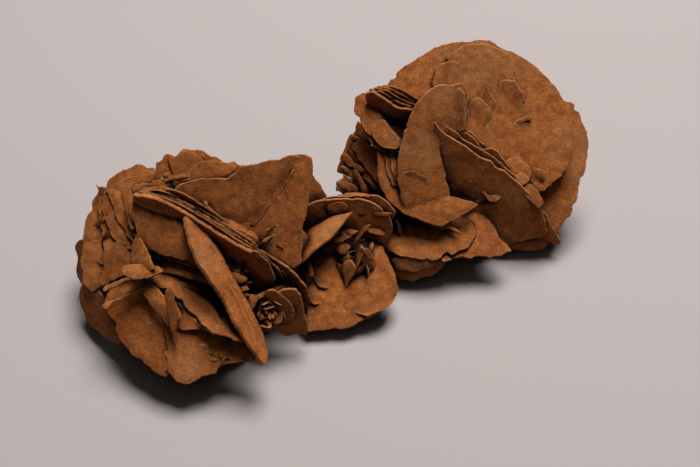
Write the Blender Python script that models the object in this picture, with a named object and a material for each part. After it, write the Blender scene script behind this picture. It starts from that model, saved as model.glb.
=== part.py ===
"""A gypsum sand rose: two clusters of thin lens-shaped blades grown through one another.

Every blade is a flat lens with a sharp rim. It is described by its centre, the compass
heading and the tilt of its face, its thickness and the outline of its rim. The blades
are joined into one solid, which is cut flat where the stone stands on the ground.
"""
import math

import bmesh
import bpy
from mathutils import Matrix, Vector

MM = 0.001
LIE = math.radians(-20)          # turns the long side of the stone along X
FACE = 0.78                      # flat face of a blade, as a share of its rim
PLAIN_POINTS = 10                # points round a plain rim
RIM_LOBES = ((3, 0.07, 1), (5, 0.05, 2))   # waves round a plain rim: count, height, phase
GROUND_SIZE = 400                # mm, the block that cuts the underside flat

STONE_COLOUR = (0.36, 0.13, 0.04, 1)
STONE_ROUGHNESS = 0.7

# Blades seen from the front and from above, in millimetres and degrees:
# name: (centre, heading, tilt, thickness, rim as (across, up the slope))
BLADES = {
    "great_disc": ((45, 37.5, 40.5), -88, 38, 4, (
        (-33, 5), (-28, -9), (-14, -23), (6, -29), (20, -25), (27, -20), (32, -13), (32, -6),
        (29, 8), (22, 17), (13, 24), (3, 28), (-5, 28), (-16, 26), (-26, 20), (-32, 14))),
    "under_disc": ((67, 31, 28), -82, 41, 3.4, (
        (2, 23), (-9, 19), (-18, 5), (-16, -12), (-6, -23), (3, -26), (8, -20), (13, -11), (16, -2),
        (18, 7), (16, 12), (14, 18), (10, 21))),
    "thumb": ((28, 22, 44), -55, 78, 4, (
        (-2, 22), (-9, 15), (-13, 8), (-15, 1), (-16, -8), (-14, -16), (-6, -21), (5, -24),
        (11, -13), (14, 0), (16, 7), (16, 13), (14, 19), (9, 22), (3, 24))),
    "east_crest": ((44, 13, 31), -119, 92, 3.5, (
        (-21, 11), (-18, -9), (-10, -18), (2, -22), (14, -20), (22, -11), (25, -7), (23, 2),
        (18, 10), (9, 16), (0, 19), (-9, 21), (-18, 26))),
    "east_crest_back": ((43, 17.5, 34), -119, 92, 2.5, (
        (-18, 4), (-13, -14), (3, -22), (21, -6), (20, 5), (12, 12), (6, 16), (-1, 19), (-9, 20),
        (-14, 20))),
    "bowl": ((27, 22, 32), -75, 38, 3.2, (
        (-16, 11), (-17, 5), (-18, 0), (-17, -5), (-13, -11), (-7, -16), (-1, -19), (4, -18),
        (13, -14), (18, -3), (15, 12), (3, 19), (-9, 18), (-14, 14))),
    "bowl_tooth": ((36, 12, 23.5), -90, 25, 2, (
        (-6.5, 0), (-2.5, -4), (0, -3), (4.5, -0.5), (9, 2), (3.5, 2.5), (-3, 3.5))),
    "bowl_lip": ((32, 8, 19), -85, 30, 1.6, (
        (-6, 4.5), (-6, 1), (-1, -0.5), (3, -2.5), (7, -3.5), (4.5, 1.5), (-1, 2.5))),
    "strip": ((10, 31, 45), -110, 45, 3, (
        (-10, 4), (-7, 1), (-5, -1), (-1, -4), (2.5, -6.5), (6.5, -7.5), (10.5, -6.5), (9.5, -1.5),
        (4.5, 0.5), (0, 3), (-4, 7), (-7.5, 10), (-11, 8.5))),
    "wall": ((16, 33.5, 44), -110, 93, 2.5, (
        (-10, 3), (-4, -8), (2, -14), (7, -9), (8, 2), (7, 10), (2, 8), (-2, 8), (-6, 10), (-11, 12))),
    "wall_second": ((17, 36, 46), -110, 93, 1.8, (
        (-9, 1), (-3.5, -7.5), (4, -12.5), (9, -2.5), (7, 5.5), (3.5, 6.5), (-0.5, 8), (-5.5, 10),
        (-10, 9))),
    "wall_third": ((18, 38.5, 48), -110, 93, 1.8, (
        (-6.5, -2.5), (-1, -8), (8, -7.5), (8, 0), (6, 4), (1.5, 7), (-4, 9), (-9.5, 6))),
    "west_stack_top": ((6, 27, 32), -145, 58, 3, (
        (-10, -7), (-4, -8), (4, -10), (12, -6), (13, 1), (6, 7), (0, 9), (-6, 8), (-11, 8),
        (-12, 4), (-12, -1))),
    "west_stack_middle": ((4, 26, 26), -135, 50, 2.5, (
        (-10.5, 0), (-9.5, -3), (-9.5, -5.5), (-5.5, -4.5), (0, -2.5), (5, -3), (10, -2), (9, 3.5),
        (1, 4.5), (-6.5, 3))),
    "west_stack_low": ((2, 27, 18), -115, 50, 2.5, (
        (-6, 2), (-7, -0.5), (-6.5, -4), (-1, -4.5), (6.5, -2), (9, 2), (3, 3), (-2, 3))),
    "shelf": ((27, 7, 16), -90, 20, 3, (
        (-18, -3), (-15, -5), (-11, -8), (-6, -9), (0, -9), (5, -9), (8, -7), (12, -6), (15, -3),
        (17, 1), (15, 5), (4, 10), (-8, 7), (-16, 2))),
    "shelf_east": ((43, 6, 15), -85, 24, 2.6, (
        (-10, -6.5), (-2, -7), (4, -7.5), (8.5, -7), (12.5, -5.5), (10.5, -2.5), (8, 1), (5, 8.5),
        (-2, 10), (-10, 2))),
    "grey_foot": ((23, 0.5, 11.5), -90, 60, 3, (
        (-11.5, 0), (-10.5, -3), (-9, -5.5), (-6, -8), (-1.5, -9), (1.5, -8), (6, -6.5), (10, -3),
        (12, 2.5), (8, 7), (-6, 7), (-11, 4.5))),
    "tail": ((62, 5.5, 23), -119, 92, 2.4, (
        (-7, 7), (-8.5, -5), (-2, -9), (6.5, -5.5), (9.5, -4.5), (11, -2.5), (8.5, 2), (6, 5.5),
        (2, 9.5))),
    "tail_under": ((62, 3.5, 18), -110, 98, 2.5, (
        (-6, -6.5), (-3, -8.5), (1, -7.5), (4.5, -5.5), (6.5, -0.5), (6, 7), (-0.5, 8), (-6.5, 2))),
    "shell": ((57, 21, 32), -80, 37, 3, (
        (-6, -1.5), (-1, -5.5), (3.5, -4.5), (6, -2.5), (6, 0), (4.5, 3.5), (2, 6), (-2.5, 6),
        (-5, 3.5))),
    "shell_small": ((63, 15, 27), -80, 42, 3, (
        (-4, 0), (-0.5, -4), (2.5, -2.5), (2.5, 1), (0.5, 3.5), (-2.5, 5))),
    "arch": ((0, 10, 9), -92, 93, 3.5, (
        (-16, -13), (-7, -24), (7, -23), (16, -15), (18, -1), (16, 10), (13, 16), (10, 21), (7, 24),
        (1, 25), (-7, 25), (-13, 22), (-15, 17), (-16, 10))),
    "arch_back": ((1, 12, 22), -92, 93, 1.8, (
        (-14, -5), (-8, -10), (10, -10), (14, 1), (11, 7), (8, 10), (1, 11), (-6, 10), (-10, 8),
        (-13, 4))),
    "low_disc": ((-2, -13, 11), -90, 27, 4, (
        (-14, 5), (-16, -4), (-13, -14), (-6, -14), (-1, -14), (4, -12), (9, -10), (14, -6),
        (17, -3), (18, 0), (18, 4), (14, 11), (4, 15), (-9, 13))),
    "leaf": ((-10, 5, 19), -135, 38, 2.4, (
        (5, 13), (3, 11), (0, 8.5), (-2.5, 5.5), (-4.5, 1), (-5, -3), (-4.5, -7.5), (0, -11),
        (1.5, -6), (3.5, 0.5), (4.5, 4.5), (5, 9))),
    "leaf_under": ((-10, 2, 18.5), -130, 35, 1.6, (
        (2, 6.5), (-2.5, 0), (-5.5, -6.5), (-1.5, -9), (0, -4), (3, 1.5), (6.5, 7), (6.5, 10.5))),
    "west_crest": ((-47, -14.5, 30), -104, 89, 2.6, (
        (-23, 16), (-20, 3), (-11, -15), (6, -26), (18, -19), (23, -8), (23, -1), (20, 4), (17, 8),
        (11, 10), (6, 13), (0, 17), (-6, 21), (-14, 25), (-23, 25))),
    "west_crest_back": ((-41, -13, 26), -104, 89, 3, (
        (-28, 17), (-21, 0), (-4, -22), (14, -27), (25, -22), (29, -14), (28, -7), (26, -2), (20, 4),
        (14, 8), (7, 12), (0, 18), (-10, 25), (-16, 28), (-22, 28), (-27, 27))),
    "west_crest_third": ((-50, -7.5, 38), -104, 89, 1.6, (
        (-13, -1), (0, -12), (14, -13), (15, 1), (10, 5), (3, 9), (-3, 13), (-10, 14), (-15, 13))),
    "fin": ((-39.5, -29, 32.5), -8, 46, 4, (
        (15, 22), (9, 19), (4, 16), (1, 11), (-2, 7), (-3, 3), (-6, -1), (-9, -5), (-12, -9),
        (-15, -14), (-18, -20), (-16, -22), (-11, -21), (-7, -18), (-3, -14), (1, -9), (4, -5),
        (6, 0), (10, 4), (13, 10), (16, 16))),
    "wing_west": ((-36, -3, 40), -86, 57, 2.6, (
        (-17, -6), (-10, -14), (-3, -22), (4, -20), (11, -7), (18, 6), (21, 16), (17, 18), (11, 17),
        (6, 16), (1, 15), (-3, 12), (-8, 12), (-12, 12), (-16, 10), (-18, 7))),
    "wing_east": ((-23, -10.5, 36.5), -72, 45, 3, (
        (-14, -7), (-10, -17), (-3, -21), (3, -19), (5, -12), (6, -8), (7, -5), (7, -1), (10, 4),
        (12, 9), (13, 12), (15, 17), (16, 22), (14, 24), (10, 24), (8, 19), (5, 16), (0, 12),
        (-6, 8), (-12, 3))),
    "wing_behind": ((-12, 7.5, 33.5), -65, 60, 2.5, (
        (-4.5, 1.5), (-2.5, -8.5), (2.5, -6.5), (5, -1), (4, 2.5), (3, 5.5), (2, 8.5), (0.5, 10))),
    "back_sheet": ((-51, 6.5, 45), -95, 48, 2.4, (
        (-13, -3), (-8, -8), (4, -9), (15, -3), (15, 5), (12, 6), (9, 5), (5, 7), (2, 9), (-2, 9),
        (-6, 9), (-7, 7), (-10, 7), (-11, 7), (-13, 5), (-14, 2))),
    "back_sheet_upper": ((-54, 8, 48), -95, 50, 1.6, (
        (-5, -1), (-4, -6), (0, -6.5), (5, -3), (6.5, 0.5), (4.5, 3.5), (1.5, 5.5), (-2, 6), (-6, 4))),
    "shoulder": ((-72, 9.5, 37.5), -112, 52, 2, (
        (-9, -7), (-5, -8.5), (3, -7), (9.5, -1.5), (12, 4.5), (8, 8), (5, 8.5), (2, 7.5),
        (-0.5, 8.5), (-3, 6.5), (-6.5, 4), (-8.5, 1.5), (-10, 0), (-10.5, -3))),
    "shoulder_second": ((-70, 7, 39), -112, 52, 1.6, (
        (-8.5, -7), (-3, -7), (4.5, -5), (10.5, 1.5), (9, 6), (5, 8), (0.5, 6.5), (-3, 4.5),
        (-6.5, 1.5), (-9, -0.5), (-10.5, -3.5))),
    "shoulder_third": ((-67, 5, 40), -112, 52, 1.5, (
        (-6, -7), (-1.5, -5.5), (5, -2.5), (9.5, 2), (6.5, 5), (1.5, 5.5), (-2.5, 4), (-6, 2),
        (-7.5, -0.5), (-8, -3.5))),
    "spur": ((-81, 7, 35), -125, 56, 2.4, (
        (-5, 0.5), (-3, -2), (2, -4), (6, 0.5), (3.5, 4), (-1.5, 3.5), (-4.5, 2.5), (-6.5, 2.5))),
    "fan_first": ((-82.5, -6, 33), -160, 60, 2, (
        (-13, 8), (-13, 2), (-11, 0), (-11, -5), (-9, -9), (-7, -11), (-3, -11), (3, -9), (12, -4),
        (16, 2), (11, 7), (2, 10))),
    "fan_second": ((-78.5, -7, 36.5), -158, 60, 1.6, (
        (-14, 4), (-13, -1), (-10, -4), (-5, -5), (-1, -6), (2, -9), (10, -6), (14, 1), (11, 5),
        (0, 6), (-8, 7))),
    "fan_third": ((-75.5, -9, 41), -155, 58, 1.6, (
        (-12, 1.5), (-11.5, -2.5), (-8, -5), (-4, -6), (1, -6), (5, -5), (11, -1), (12.5, 4.5),
        (6, 6.5), (-5, 5.5))),
    "fan_fourth": ((-72, -9, 46), -150, 56, 1.6, (
        (-11.5, -1.5), (-9.5, -3.5), (-5, -5), (1, -5.5), (7.5, -4.5), (10.5, -1.5), (6, 4.5),
        (-2.5, 5.5), (-9.5, 2.5))),
    "fan_fifth": ((-69, -11, 49), -146, 54, 1.8, (
        (-8, 4), (-7, 0), (-4.5, -3), (-0.5, -5), (3, -6), (6, -5), (7.5, 0.5), (3.5, 5.5),
        (-2.5, 7))),
    "tray": ((-58, -14, 41), -112, 36, 3, (
        (-16, 8), (-16, 4), (-14, 1), (-13, -1), (-11, -3), (-9, -5), (-5, -6), (0, -7), (6, -6),
        (10, -7), (16, -6), (17, -2), (10, 3), (-2, 6), (-12, 8))),
    "petal_small": ((-68, -17, 34), -140, 46, 2.4, (
        (-6.5, 6), (-6, 2.5), (-4, -0.5), (-2.5, -3.5), (1, -5), (5.5, -3), (7.5, 0), (4.5, 2.5),
        (-1, 4.5))),
    "tray_under": ((-52, -20, 31.5), -100, 22, 1.6, (
        (-12.5, 0), (-10.5, -1.5), (-4.5, -2.5), (3.5, -3.5), (10.5, -4.5), (10, 0.5), (2.5, 3.5),
        (-9, 4))),
    "crescent": ((-68, -20, 30), -95, 18, 2.6, (
        (-6.5, 0), (-6, -1.5), (-4, -3), (-1, -3.5), (2.5, -3), (5, -2), (7, 0), (5, 3.5), (-1, 4.5),
        (-5.5, 2.5))),
    "petal": ((-82, -17, 29), -125, 52, 3.2, (
        (-9, 4), (-8.5, -0.5), (-6, -4), (-4, -7.5), (-2, -9.5), (0, -10), (3, -7.5), (6, -4),
        (9, 0.5), (9.5, 6), (3, 8), (-3.5, 6))),
    "petal_inner": ((-76, -17, 31), -118, 56, 2.6, (
        (-5.5, 2), (-4.5, -2), (-4.5, -6.5), (-3, -10), (0, -7.5), (4, -4), (7, -0.5), (5.5, 4.5),
        (2.5, 7.5), (-2.5, 6))),
    "patch": ((-76, -23, 23), -112, 60, 3, (
        (-5, -1), (-4, -3), (-2.5, -5), (1.5, -2.5), (5, 1.5), (3, 5), (0, 5), (-3.5, 2))),
    "ledge": ((-75, -24, 16), -108, 88, 2.2, (
        (-8, -10), (-2, -8), (6, 0), (8, 12), (4, 9), (0, 5), (-5, 0), (-8, -3))),
    "side_upper": ((-89.5, -5, 19), -150, 75, 2.6, (
        (-5.5, 2.5), (-8, -3), (-5.5, -5.5), (-4, -8.5), (4.5, -3.5), (7.5, 4.5), (3.5, 7),
        (-1.5, 6))),
    "side_lower": ((-89, -10, 15), -150, 75, 2.4, (
        (-7, 0), (-7.5, -5), (-5.5, -6.5), (-1, -6), (4.5, -1.5), (6, 6), (1, 7))),
    "side_dark": ((-82, -26, 15), -140, 70, 3, (
        (-12, 2), (-13, -1), (-12, -4), (-9, -7), (-3, -8), (4, -7), (11, -4), (14, 2), (9, 5),
        (1, 7), (-6, 8))),
    "front_plate": ((-67, -37, 20), -115, 48, 3.6, (
        (-15, 3), (-11, -1), (-7, -5), (-3, -7), (2, -10), (6, -11), (10, -12), (13, -12), (12, -5),
        (10, 2), (7, 7), (2, 10), (-5, 13), (-11, 8))),
    "front_tip": ((-47, -43, 19), -82, 44, 3.6, (
        (-11, 6), (-12, 1), (-12, -6), (-10, -10), (-7, -11), (-5, -11), (-2, -10), (2, -9), (5, -6),
        (10, -6), (13, -6), (15, -1), (11, 6), (0, 10), (-7, 9))),
    "needle": ((-56, -38.5, 29), -70, 60, 2.6, (
        (0, 9), (-1, 4.5), (-1.5, -0.5), (-2, -5.5), (-2, -10), (0, -8.5), (1.5, -5.5), (2.5, 0),
        (2.5, 5.5), (1.5, 9))),
    "diagonal": ((-47, -36, 32), -125, 40, 2.2, (
        (-22, -1), (-18, -2), (-13, -1), (-7, -2), (-2, -3), (1, -5), (5, -5), (8, -6), (12, -5),
        (18, -3), (17, 1), (12, 4), (2, 6), (-8, 6), (-17, 4))),
    "step": ((-51, -36, 26), -108, 30, 2.4, (
        (-8, 4.5), (-6, 0.5), (-4.5, -4), (-2, -4.5), (1, -4), (5.5, -2.5), (9, -2.5), (7, 1.5),
        (0, 5), (-5, 6))),
    "strap": ((-62, -30.5, 27.5), -112, 46, 2.6, (
        (-8, 4.5), (-6.5, 1.5), (-3.5, -1.5), (0, -3.5), (3.5, -5.5), (5.5, -7.5), (7, -4), (5, 1),
        (0, 4.5), (-5, 6))),
    "dark_plate": ((-23, -27.5, 18), -95, 58, 3.4, (
        (-6, -7.5), (-2.5, -8), (3, -8.5), (6, -7.5), (9.5, -7.5), (8.5, -2), (7.5, 3), (5.5, 8.5),
        (-2, 10), (-7.5, 6), (-8.5, -1))),
    "dark_plate_inner": ((-24, -27, 21), -100, 62, 2.4, (
        (-5, -1), (-1.5, -5), (5, -5.5), (6, -2), (4.5, 1), (2, 3.5), (-2, 5.5), (-5, 5))),
}

# Plain blades behind, underneath and at the heart of the stone:
# name: (centre, heading, tilt, thickness, radius, height over width)
PLAIN_BLADES = {
    "back_1": ((-72, 10, 27), 125, 62, 3, 17, 1),
    "back_2": ((-53, 13, 32), 98, 66, 3.4, 20, 0.9),
    "back_3": ((-31, 11, 27), 70, 70, 3, 18, 1),
    "back_low_1": ((-61, 9, 13), 112, 112, 3, 17, 0.9),
    "back_low_2": ((-38, 9, 13), 78, 118, 3, 18, 0.9),
    "side_back": ((-80, 4, 15), 165, 100, 3, 13, 0.9),
    "back_rib": ((-50, 17, 20), 90, 88, 2.6, 14, 0.9),
    "foot_1": ((-66, -8, 8), -60, 165, 5, 20, 0.9),
    "foot_2": ((-42, -16, 8), 20, 160, 5, 19, 0.9),
    "neck_low": ((-24, -4, 14), 40, 120, 3, 15, 0.9),
    "under_1": ((-70, -20, 14), -140, 120, 3, 16, 0.9),
    "under_2": ((-47, -32, 13), -90, 120, 3.4, 17, 0.9),
    "under_3": ((-30, -20, 13), -60, 115, 3, 14, 0.9),
    "heart_west": ((-55, -8, 24), -95, 70, 16, 26, 0.7),
    "heart_west_2": ((-34, -9, 22), -70, 65, 14, 20, 0.8),
    "heart_west_3": ((-68, -4, 24), -150, 66, 9, 13, 0.85),
    "heart_middle": ((-4, 4, 12), -90, 60, 9, 18, 0.6),
    "neck_back_1": ((2, 14, 16), 85, 80, 3, 17, 0.9),
    "neck_back_2": ((-12, 12, 14), 110, 95, 3, 14, 0.9),
    "neck_back_3": ((14, 14, 12), 75, 110, 3, 14, 0.9),
    "neck_foot": ((0, 2, 5), -90, 172, 5, 19, 0.8),
    "heart_east": ((34, 24, 25), -100, 60, 12, 17, 0.9),
    "heart_east_2": ((50, 22, 20), -110, 60, 9, 15, 0.8),
    "heart_east_3": ((20, 24, 30), -130, 60, 10, 15, 0.9),
    "east_back_1": ((54, 46, 22), 75, 72, 3, 17, 0.9),
    "east_back_2": ((36, 50, 30), 95, 62, 3, 16, 0.9),
    "east_back_3": ((20, 42, 30), 120, 70, 3, 14, 0.9),
    "east_low_1": ((30, 38, 14), 100, 118, 3, 18, 0.9),
    "east_low_2": ((56, 34, 14), 60, 122, 3, 19, 0.9),
    "east_side": ((70, 24, 18), 30, 112, 2.8, 13, 0.9),
    "east_foot_1": ((40, 18, 7), -90, 168, 5, 22, 0.9),
    "east_foot_2": ((58, 22, 8), -40, 160, 5, 17, 0.9),
    "east_foot_3": ((24, 20, 9), -120, 150, 4, 17, 0.9),
    "east_under": ((52, 14, 7), -85, 140, 3, 14, 0.9),
    "east_rib": ((12, 30, 22), 150, 92, 3, 14, 0.9),
}


def new_collection(name):
    collection = bpy.data.collections.new(name)
    bpy.context.scene.collection.children.link(collection)
    return collection


def stone_material():
    material = bpy.data.materials.new("sand_gypsum")
    material.use_nodes = True
    shader = material.node_tree.nodes["Principled BSDF"]
    shader.inputs["Base Color"].default_value = STONE_COLOUR
    shader.inputs["Roughness"].default_value = STONE_ROUGHNESS
    shader.inputs["Metallic"].default_value = 0
    material.diffuse_color = STONE_COLOUR
    return material


def plain_rim(radius, squash, order):
    """A round rim with a few shallow lobes, different for each blade."""
    rim = []
    for step in range(PLAIN_POINTS):
        angle = 2 * math.pi * step / PLAIN_POINTS
        reach = radius
        for count, height, phase in RIM_LOBES:
            reach += radius * height * math.sin(count * angle + phase * order)
        rim.append((reach * math.cos(angle), squash * reach * math.sin(angle)))
    return rim


def blade(name, centre, heading, tilt, thickness, rim, collection):
    """One lens: a flat outline drawn out to a smaller face above and below."""
    bm = bmesh.new()
    bmesh.ops.create_circle(bm, cap_ends=True, segments=len(rim), radius=1)
    for vert, (across, up) in zip(bm.verts, rim):
        vert.co = Vector((across, up, 0)) * MM
    middle = sum((vert.co for vert in bm.verts), Vector()) / len(rim)
    bm.faces.ensure_lookup_table()
    outline = bm.faces[0]
    for side in (1, -1):
        grown = bmesh.ops.extrude_face_region(bm, geom=[outline])["geom"]
        verts = [item for item in grown if isinstance(item, bmesh.types.BMVert)]
        bmesh.ops.scale(bm, vec=(FACE, FACE, 1), space=Matrix.Translation(-middle), verts=verts)
        bmesh.ops.translate(bm, vec=(0, 0, side * thickness * MM / 2), verts=verts)
    bmesh.ops.delete(bm, geom=[outline], context="FACES_ONLY")
    bmesh.ops.recalc_face_normals(bm, faces=bm.faces)
    mesh = bpy.data.meshes.new(name)
    bm.to_mesh(mesh)
    bm.free()
    lens = bpy.data.objects.new(name, mesh)
    lens.location = Vector(centre) * MM
    lens.rotation_euler = (math.radians(tilt), 0, math.radians(heading + 90))
    collection.objects.link(lens)
    return lens


def gather_blades(collection):
    lenses = [blade(name, *shape, collection) for name, shape in BLADES.items()]
    for order, (name, shape) in enumerate(PLAIN_BLADES.items()):
        centre, heading, tilt, thickness, radius, squash = shape
        rim = plain_rim(radius, squash, order)
        lenses.append(blade(name, centre, heading, tilt, thickness, rim, collection))
    return lenses


def ground_block(collection):
    size = GROUND_SIZE * MM
    bpy.ops.mesh.primitive_cube_add(size=size, location=(0, 0, -size / 2))
    block = bpy.context.object
    block.name = "ground_block"
    for owner in list(block.users_collection):
        owner.objects.unlink(block)
    collection.objects.link(block)
    return block


def hide_cutter(cutter):
    cutter.hide_render = True
    cutter.display_type = "WIRE"


def grow_together(body, blades, ground):
    """Joins the blades to the body and cuts the body flat underneath."""
    join = body.modifiers.new("grown_together", "BOOLEAN")
    join.operation = "UNION"
    join.solver = "EXACT"
    join.operand_type = "COLLECTION"
    join.collection = blades
    stand = body.modifiers.new("stands_flat", "BOOLEAN")
    stand.operation = "DIFFERENCE"
    stand.solver = "EXACT"
    stand.object = ground
    bpy.context.view_layer.objects.active = body
    bpy.ops.object.modifier_apply(modifier=join.name)
    bpy.ops.object.modifier_apply(modifier=stand.name)


def shells(bm):
    """The separate closed surfaces of a mesh, as lists of faces."""
    waiting = set(bm.faces)
    found = []
    while waiting:
        shell = []
        edge_of_shell = [waiting.pop()]
        while edge_of_shell:
            face = edge_of_shell.pop()
            shell.append(face)
            for edge in face.edges:
                for neighbour in edge.link_faces:
                    if neighbour in waiting:
                        waiting.remove(neighbour)
                        edge_of_shell.append(neighbour)
        found.append(shell)
    return found


def tidy_surface(body):
    """Fills the sealed gaps between blades inside the stone and splits faces into triangles."""
    bm = bmesh.new()
    bm.from_mesh(body.data)
    found = sorted(shells(bm), key=lambda shell: sum(face.calc_area() for face in shell))
    for shell in found[:-1]:
        bmesh.ops.delete(bm, geom=shell, context="FACES")
    bmesh.ops.triangulate(bm, faces=bm.faces)
    bm.to_mesh(body.data)
    bm.free()


def lie_along_x(body):
    """Turns the long side along X and puts the origin under the middle, on the ground."""
    body.data.transform(body.matrix_world)
    body.matrix_world = Matrix.Identity(4)
    body.data.transform(Matrix.Rotation(LIE, 4, "Z"))
    points = [vert.co for vert in body.data.vertices]
    low = Vector(min(point[axis] for point in points) for axis in range(3))
    high = Vector(max(point[axis] for point in points) for axis in range(3))
    middle = (low + high) / 2
    body.data.transform(Matrix.Translation((-middle.x, -middle.y, -low.z)))


def build():
    for item in list(bpy.data.objects):
        bpy.data.objects.remove(item)
    stone = new_collection("gypsum_sand_rose")
    blades = new_collection("blades")
    cutters = new_collection("cutters")
    lenses = gather_blades(blades)
    ground = ground_block(cutters)
    body = bpy.data.objects["heart_west"]
    blades.objects.unlink(body)
    stone.objects.link(body)
    body.name = "sand_rose"
    for cutter in [*blades.objects, ground]:
        hide_cutter(cutter)
    bpy.context.view_layer.update()
    grow_together(body, blades, ground)
    tidy_surface(body)
    lie_along_x(body)
    body.data.materials.clear()
    body.data.materials.append(stone_material())


build()
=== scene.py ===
import math
import random

import bmesh
import bpy
import numpy as np
from mathutils import Matrix, Vector, geometry, noise
from mathutils.bvhtree import BVHTree
from mathutils.kdtree import KDTree


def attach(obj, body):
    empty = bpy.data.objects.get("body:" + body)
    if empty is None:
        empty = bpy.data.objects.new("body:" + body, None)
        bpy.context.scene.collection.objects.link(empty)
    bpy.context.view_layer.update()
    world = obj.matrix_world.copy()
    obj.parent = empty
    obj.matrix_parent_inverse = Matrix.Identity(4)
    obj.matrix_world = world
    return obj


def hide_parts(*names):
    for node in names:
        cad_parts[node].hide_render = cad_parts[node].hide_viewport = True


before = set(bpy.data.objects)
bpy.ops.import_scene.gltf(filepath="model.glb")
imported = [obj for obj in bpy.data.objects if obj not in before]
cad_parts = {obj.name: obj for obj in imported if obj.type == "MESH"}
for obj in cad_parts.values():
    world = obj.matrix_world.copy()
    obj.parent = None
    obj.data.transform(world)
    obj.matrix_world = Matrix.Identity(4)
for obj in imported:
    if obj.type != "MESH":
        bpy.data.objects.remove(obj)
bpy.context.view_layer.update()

# A gypsum sand rose: flat lens blades grown through one another and coated with desert sand.
# All tables are in millimetres and degrees, in the pose the stone was measured in.
# The stone is then turned and moved as its frame is.
mm = 0.001
lie = math.radians(-20)                  # turn of the measured pose into the frame
slide = Vector((-0.3184, -4.0603, 0))    # and its shift, mm


def pickNothing():
    if bpy.context.object and bpy.context.object.mode != "OBJECT":
        bpy.ops.object.mode_set(mode="OBJECT")
    bpy.ops.object.select_all(action="DESELECT")


def pickOnly(thing):
    pickNothing()
    thing.select_set(True)
    bpy.context.view_layer.objects.active = thing


def inFrame(place):
    return (Matrix.Rotation(lie, 3, "Z") @ Vector(place) + slide) * mm


def along(direction):
    return Matrix.Rotation(lie, 3, "Z") @ Vector(direction)


# Shape of one blade, in mm
lens = {
    "rimStep": 0.5,         # between points along the rim
    "rimShare": 0.26,       # half the blunt edge, as a share of the thickness
    "chamfer": 0.22,        # width of the rounding beside it
    "waves": ((7.0, 0.09), (2.3, 0.09), (0.8, 0.12)),   # ragged rim: length, height
    "biteLength": 3.2, "biteFrom": 0.25, "biteDepth": 1.5,
    "spacing": 0.95,        # between points on a face that is seen
    "hidden": 1.7,          # and on one at the back or underneath
    "smallReach": 9.0,      # a blade that reaches less far has a calmer rim
    "swell": ((9.0, 0.25), (3.2, 0.14), (1.5, 0.1)),   # unevenness of a face
    "scatter": 0.22,        # unevenness of a face's points, as a share of the spacing
    "crown": 0.8,           # how soon a face swells from its rim: 1 is a plain wedge
    "crisp": 38,            # edges sharper than this many degrees stay crisp
    "least": 0.15,          # half the thickness that a face never goes under
}


def roundRim(radius, squash, order):
    rim = []
    for step in range(14):
        angle = 2 * math.pi * step / 14
        reach = radius * (1 + 0.07 * math.sin(3 * angle + order) + 0.05 * math.sin(5 * angle + 2 * order))
        rim.append((reach * math.cos(angle), squash * reach * math.sin(angle)))
    return rim


def chipRim(radius, squash, order):
    # an uneven six-sided crystal
    turns = random.Random(order)
    rim = []
    for angle in (0, 50, 125, 180, 235, 310):
        reach = radius * turns.uniform(0.75, 1.15)
        bearing = math.radians(angle + turns.uniform(-12, 12))
        rim.append((reach * math.cos(bearing), squash * reach * math.sin(bearing)))
    return rim


def smoothRim(rim, seed, jag=1.0):
    # a closed curve through the rim's points, with the ragged edge that crystals have
    points = [Vector((x, y, 0)) for x, y in rim]
    count = len(points)
    curve = []
    for i in range(count):
        before, here, there, after = (points[(i + k) % count] for k in (-1, 0, 1, 2))
        length = (there - here).length
        leave = (there - before) * (length / max((here - before).length + length, 0.1))
        arrive = (after - here) * (length / max((after - there).length + length, 0.1))
        steps = max(2, round(length / lens["rimStep"]))
        for k in range(steps):
            t = k / steps
            curve.append(here * (2 * t**3 - 3 * t**2 + 1) + leave * (t**3 - 2 * t**2 + t)
                         + there * (3 * t**2 - 2 * t**3) + arrive * (t**3 - t**2))
    ragged = []
    offset = Vector((seed * 17.3, seed * 5.1, seed * 3.7))
    count = len(curve)
    for i, point in enumerate(curve):
        alongRim = curve[(i + 1) % count] - curve[i - 1]
        outward = Vector((alongRim.y, -alongRim.x, 0)).normalized()
        out = 0
        for length, height in lens["waves"]:
            out += height * noise.noise(point / length + offset) * 2
        bite = noise.noise(point / lens["biteLength"] + offset * 2) - lens["biteFrom"]
        out -= max(bite, 0) * lens["biteDepth"]
        ragged.append(point + outward * out * jag)
    return ragged


def rimDistance(points, edge):
    # from each point to the nearest stretch of the rim
    start = edge
    run = np.roll(edge, -1, 0) - edge
    length = np.maximum((run**2).sum(1), 1e-9)
    best = np.full(len(points), 1e9)
    for first in range(0, len(points), 400):
        rows = points[first:first + 400, None, :] - start[None]
        share = np.clip((rows * run).sum(2) / length, 0, 1)
        gap = rows - share[..., None] * run
        best[first:first + 400] = np.sqrt((gap**2).sum(2).min(1))
    return best


def inside(points, edge):
    x, y = points[:, 0, None], points[:, 1, None]
    x1, y1 = edge[:, 0], edge[:, 1]
    x2, y2 = np.roll(x1, -1), np.roll(y1, -1)
    crosses = (y1 > y) != (y2 > y)
    with np.errstate(divide="ignore", invalid="ignore"):
        at = (x2 - x1) * (y - y1) / (y2 - y1) + x1
    return (crosses & (x < at)).sum(1) % 2 == 1


def facePoints(edge, spacing, rng):
    # an even scatter of points over the blade, clear of its rim
    low, high = edge.min(0), edge.max(0)
    rows = []
    for row, y in enumerate(np.arange(low[1], high[1], spacing * 0.87)):
        xs = np.arange(low[0] + (row % 2) * spacing / 2, high[0], spacing)
        rows.append(np.stack([xs, np.full(len(xs), y)], 1))
    points = np.concatenate(rows)
    points = points + rng.uniform(-lens["scatter"], lens["scatter"], points.shape) * spacing
    points = points[inside(points, edge)]
    return points[rimDistance(points, edge) > lens["chamfer"] + 0.45 * spacing]


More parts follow.
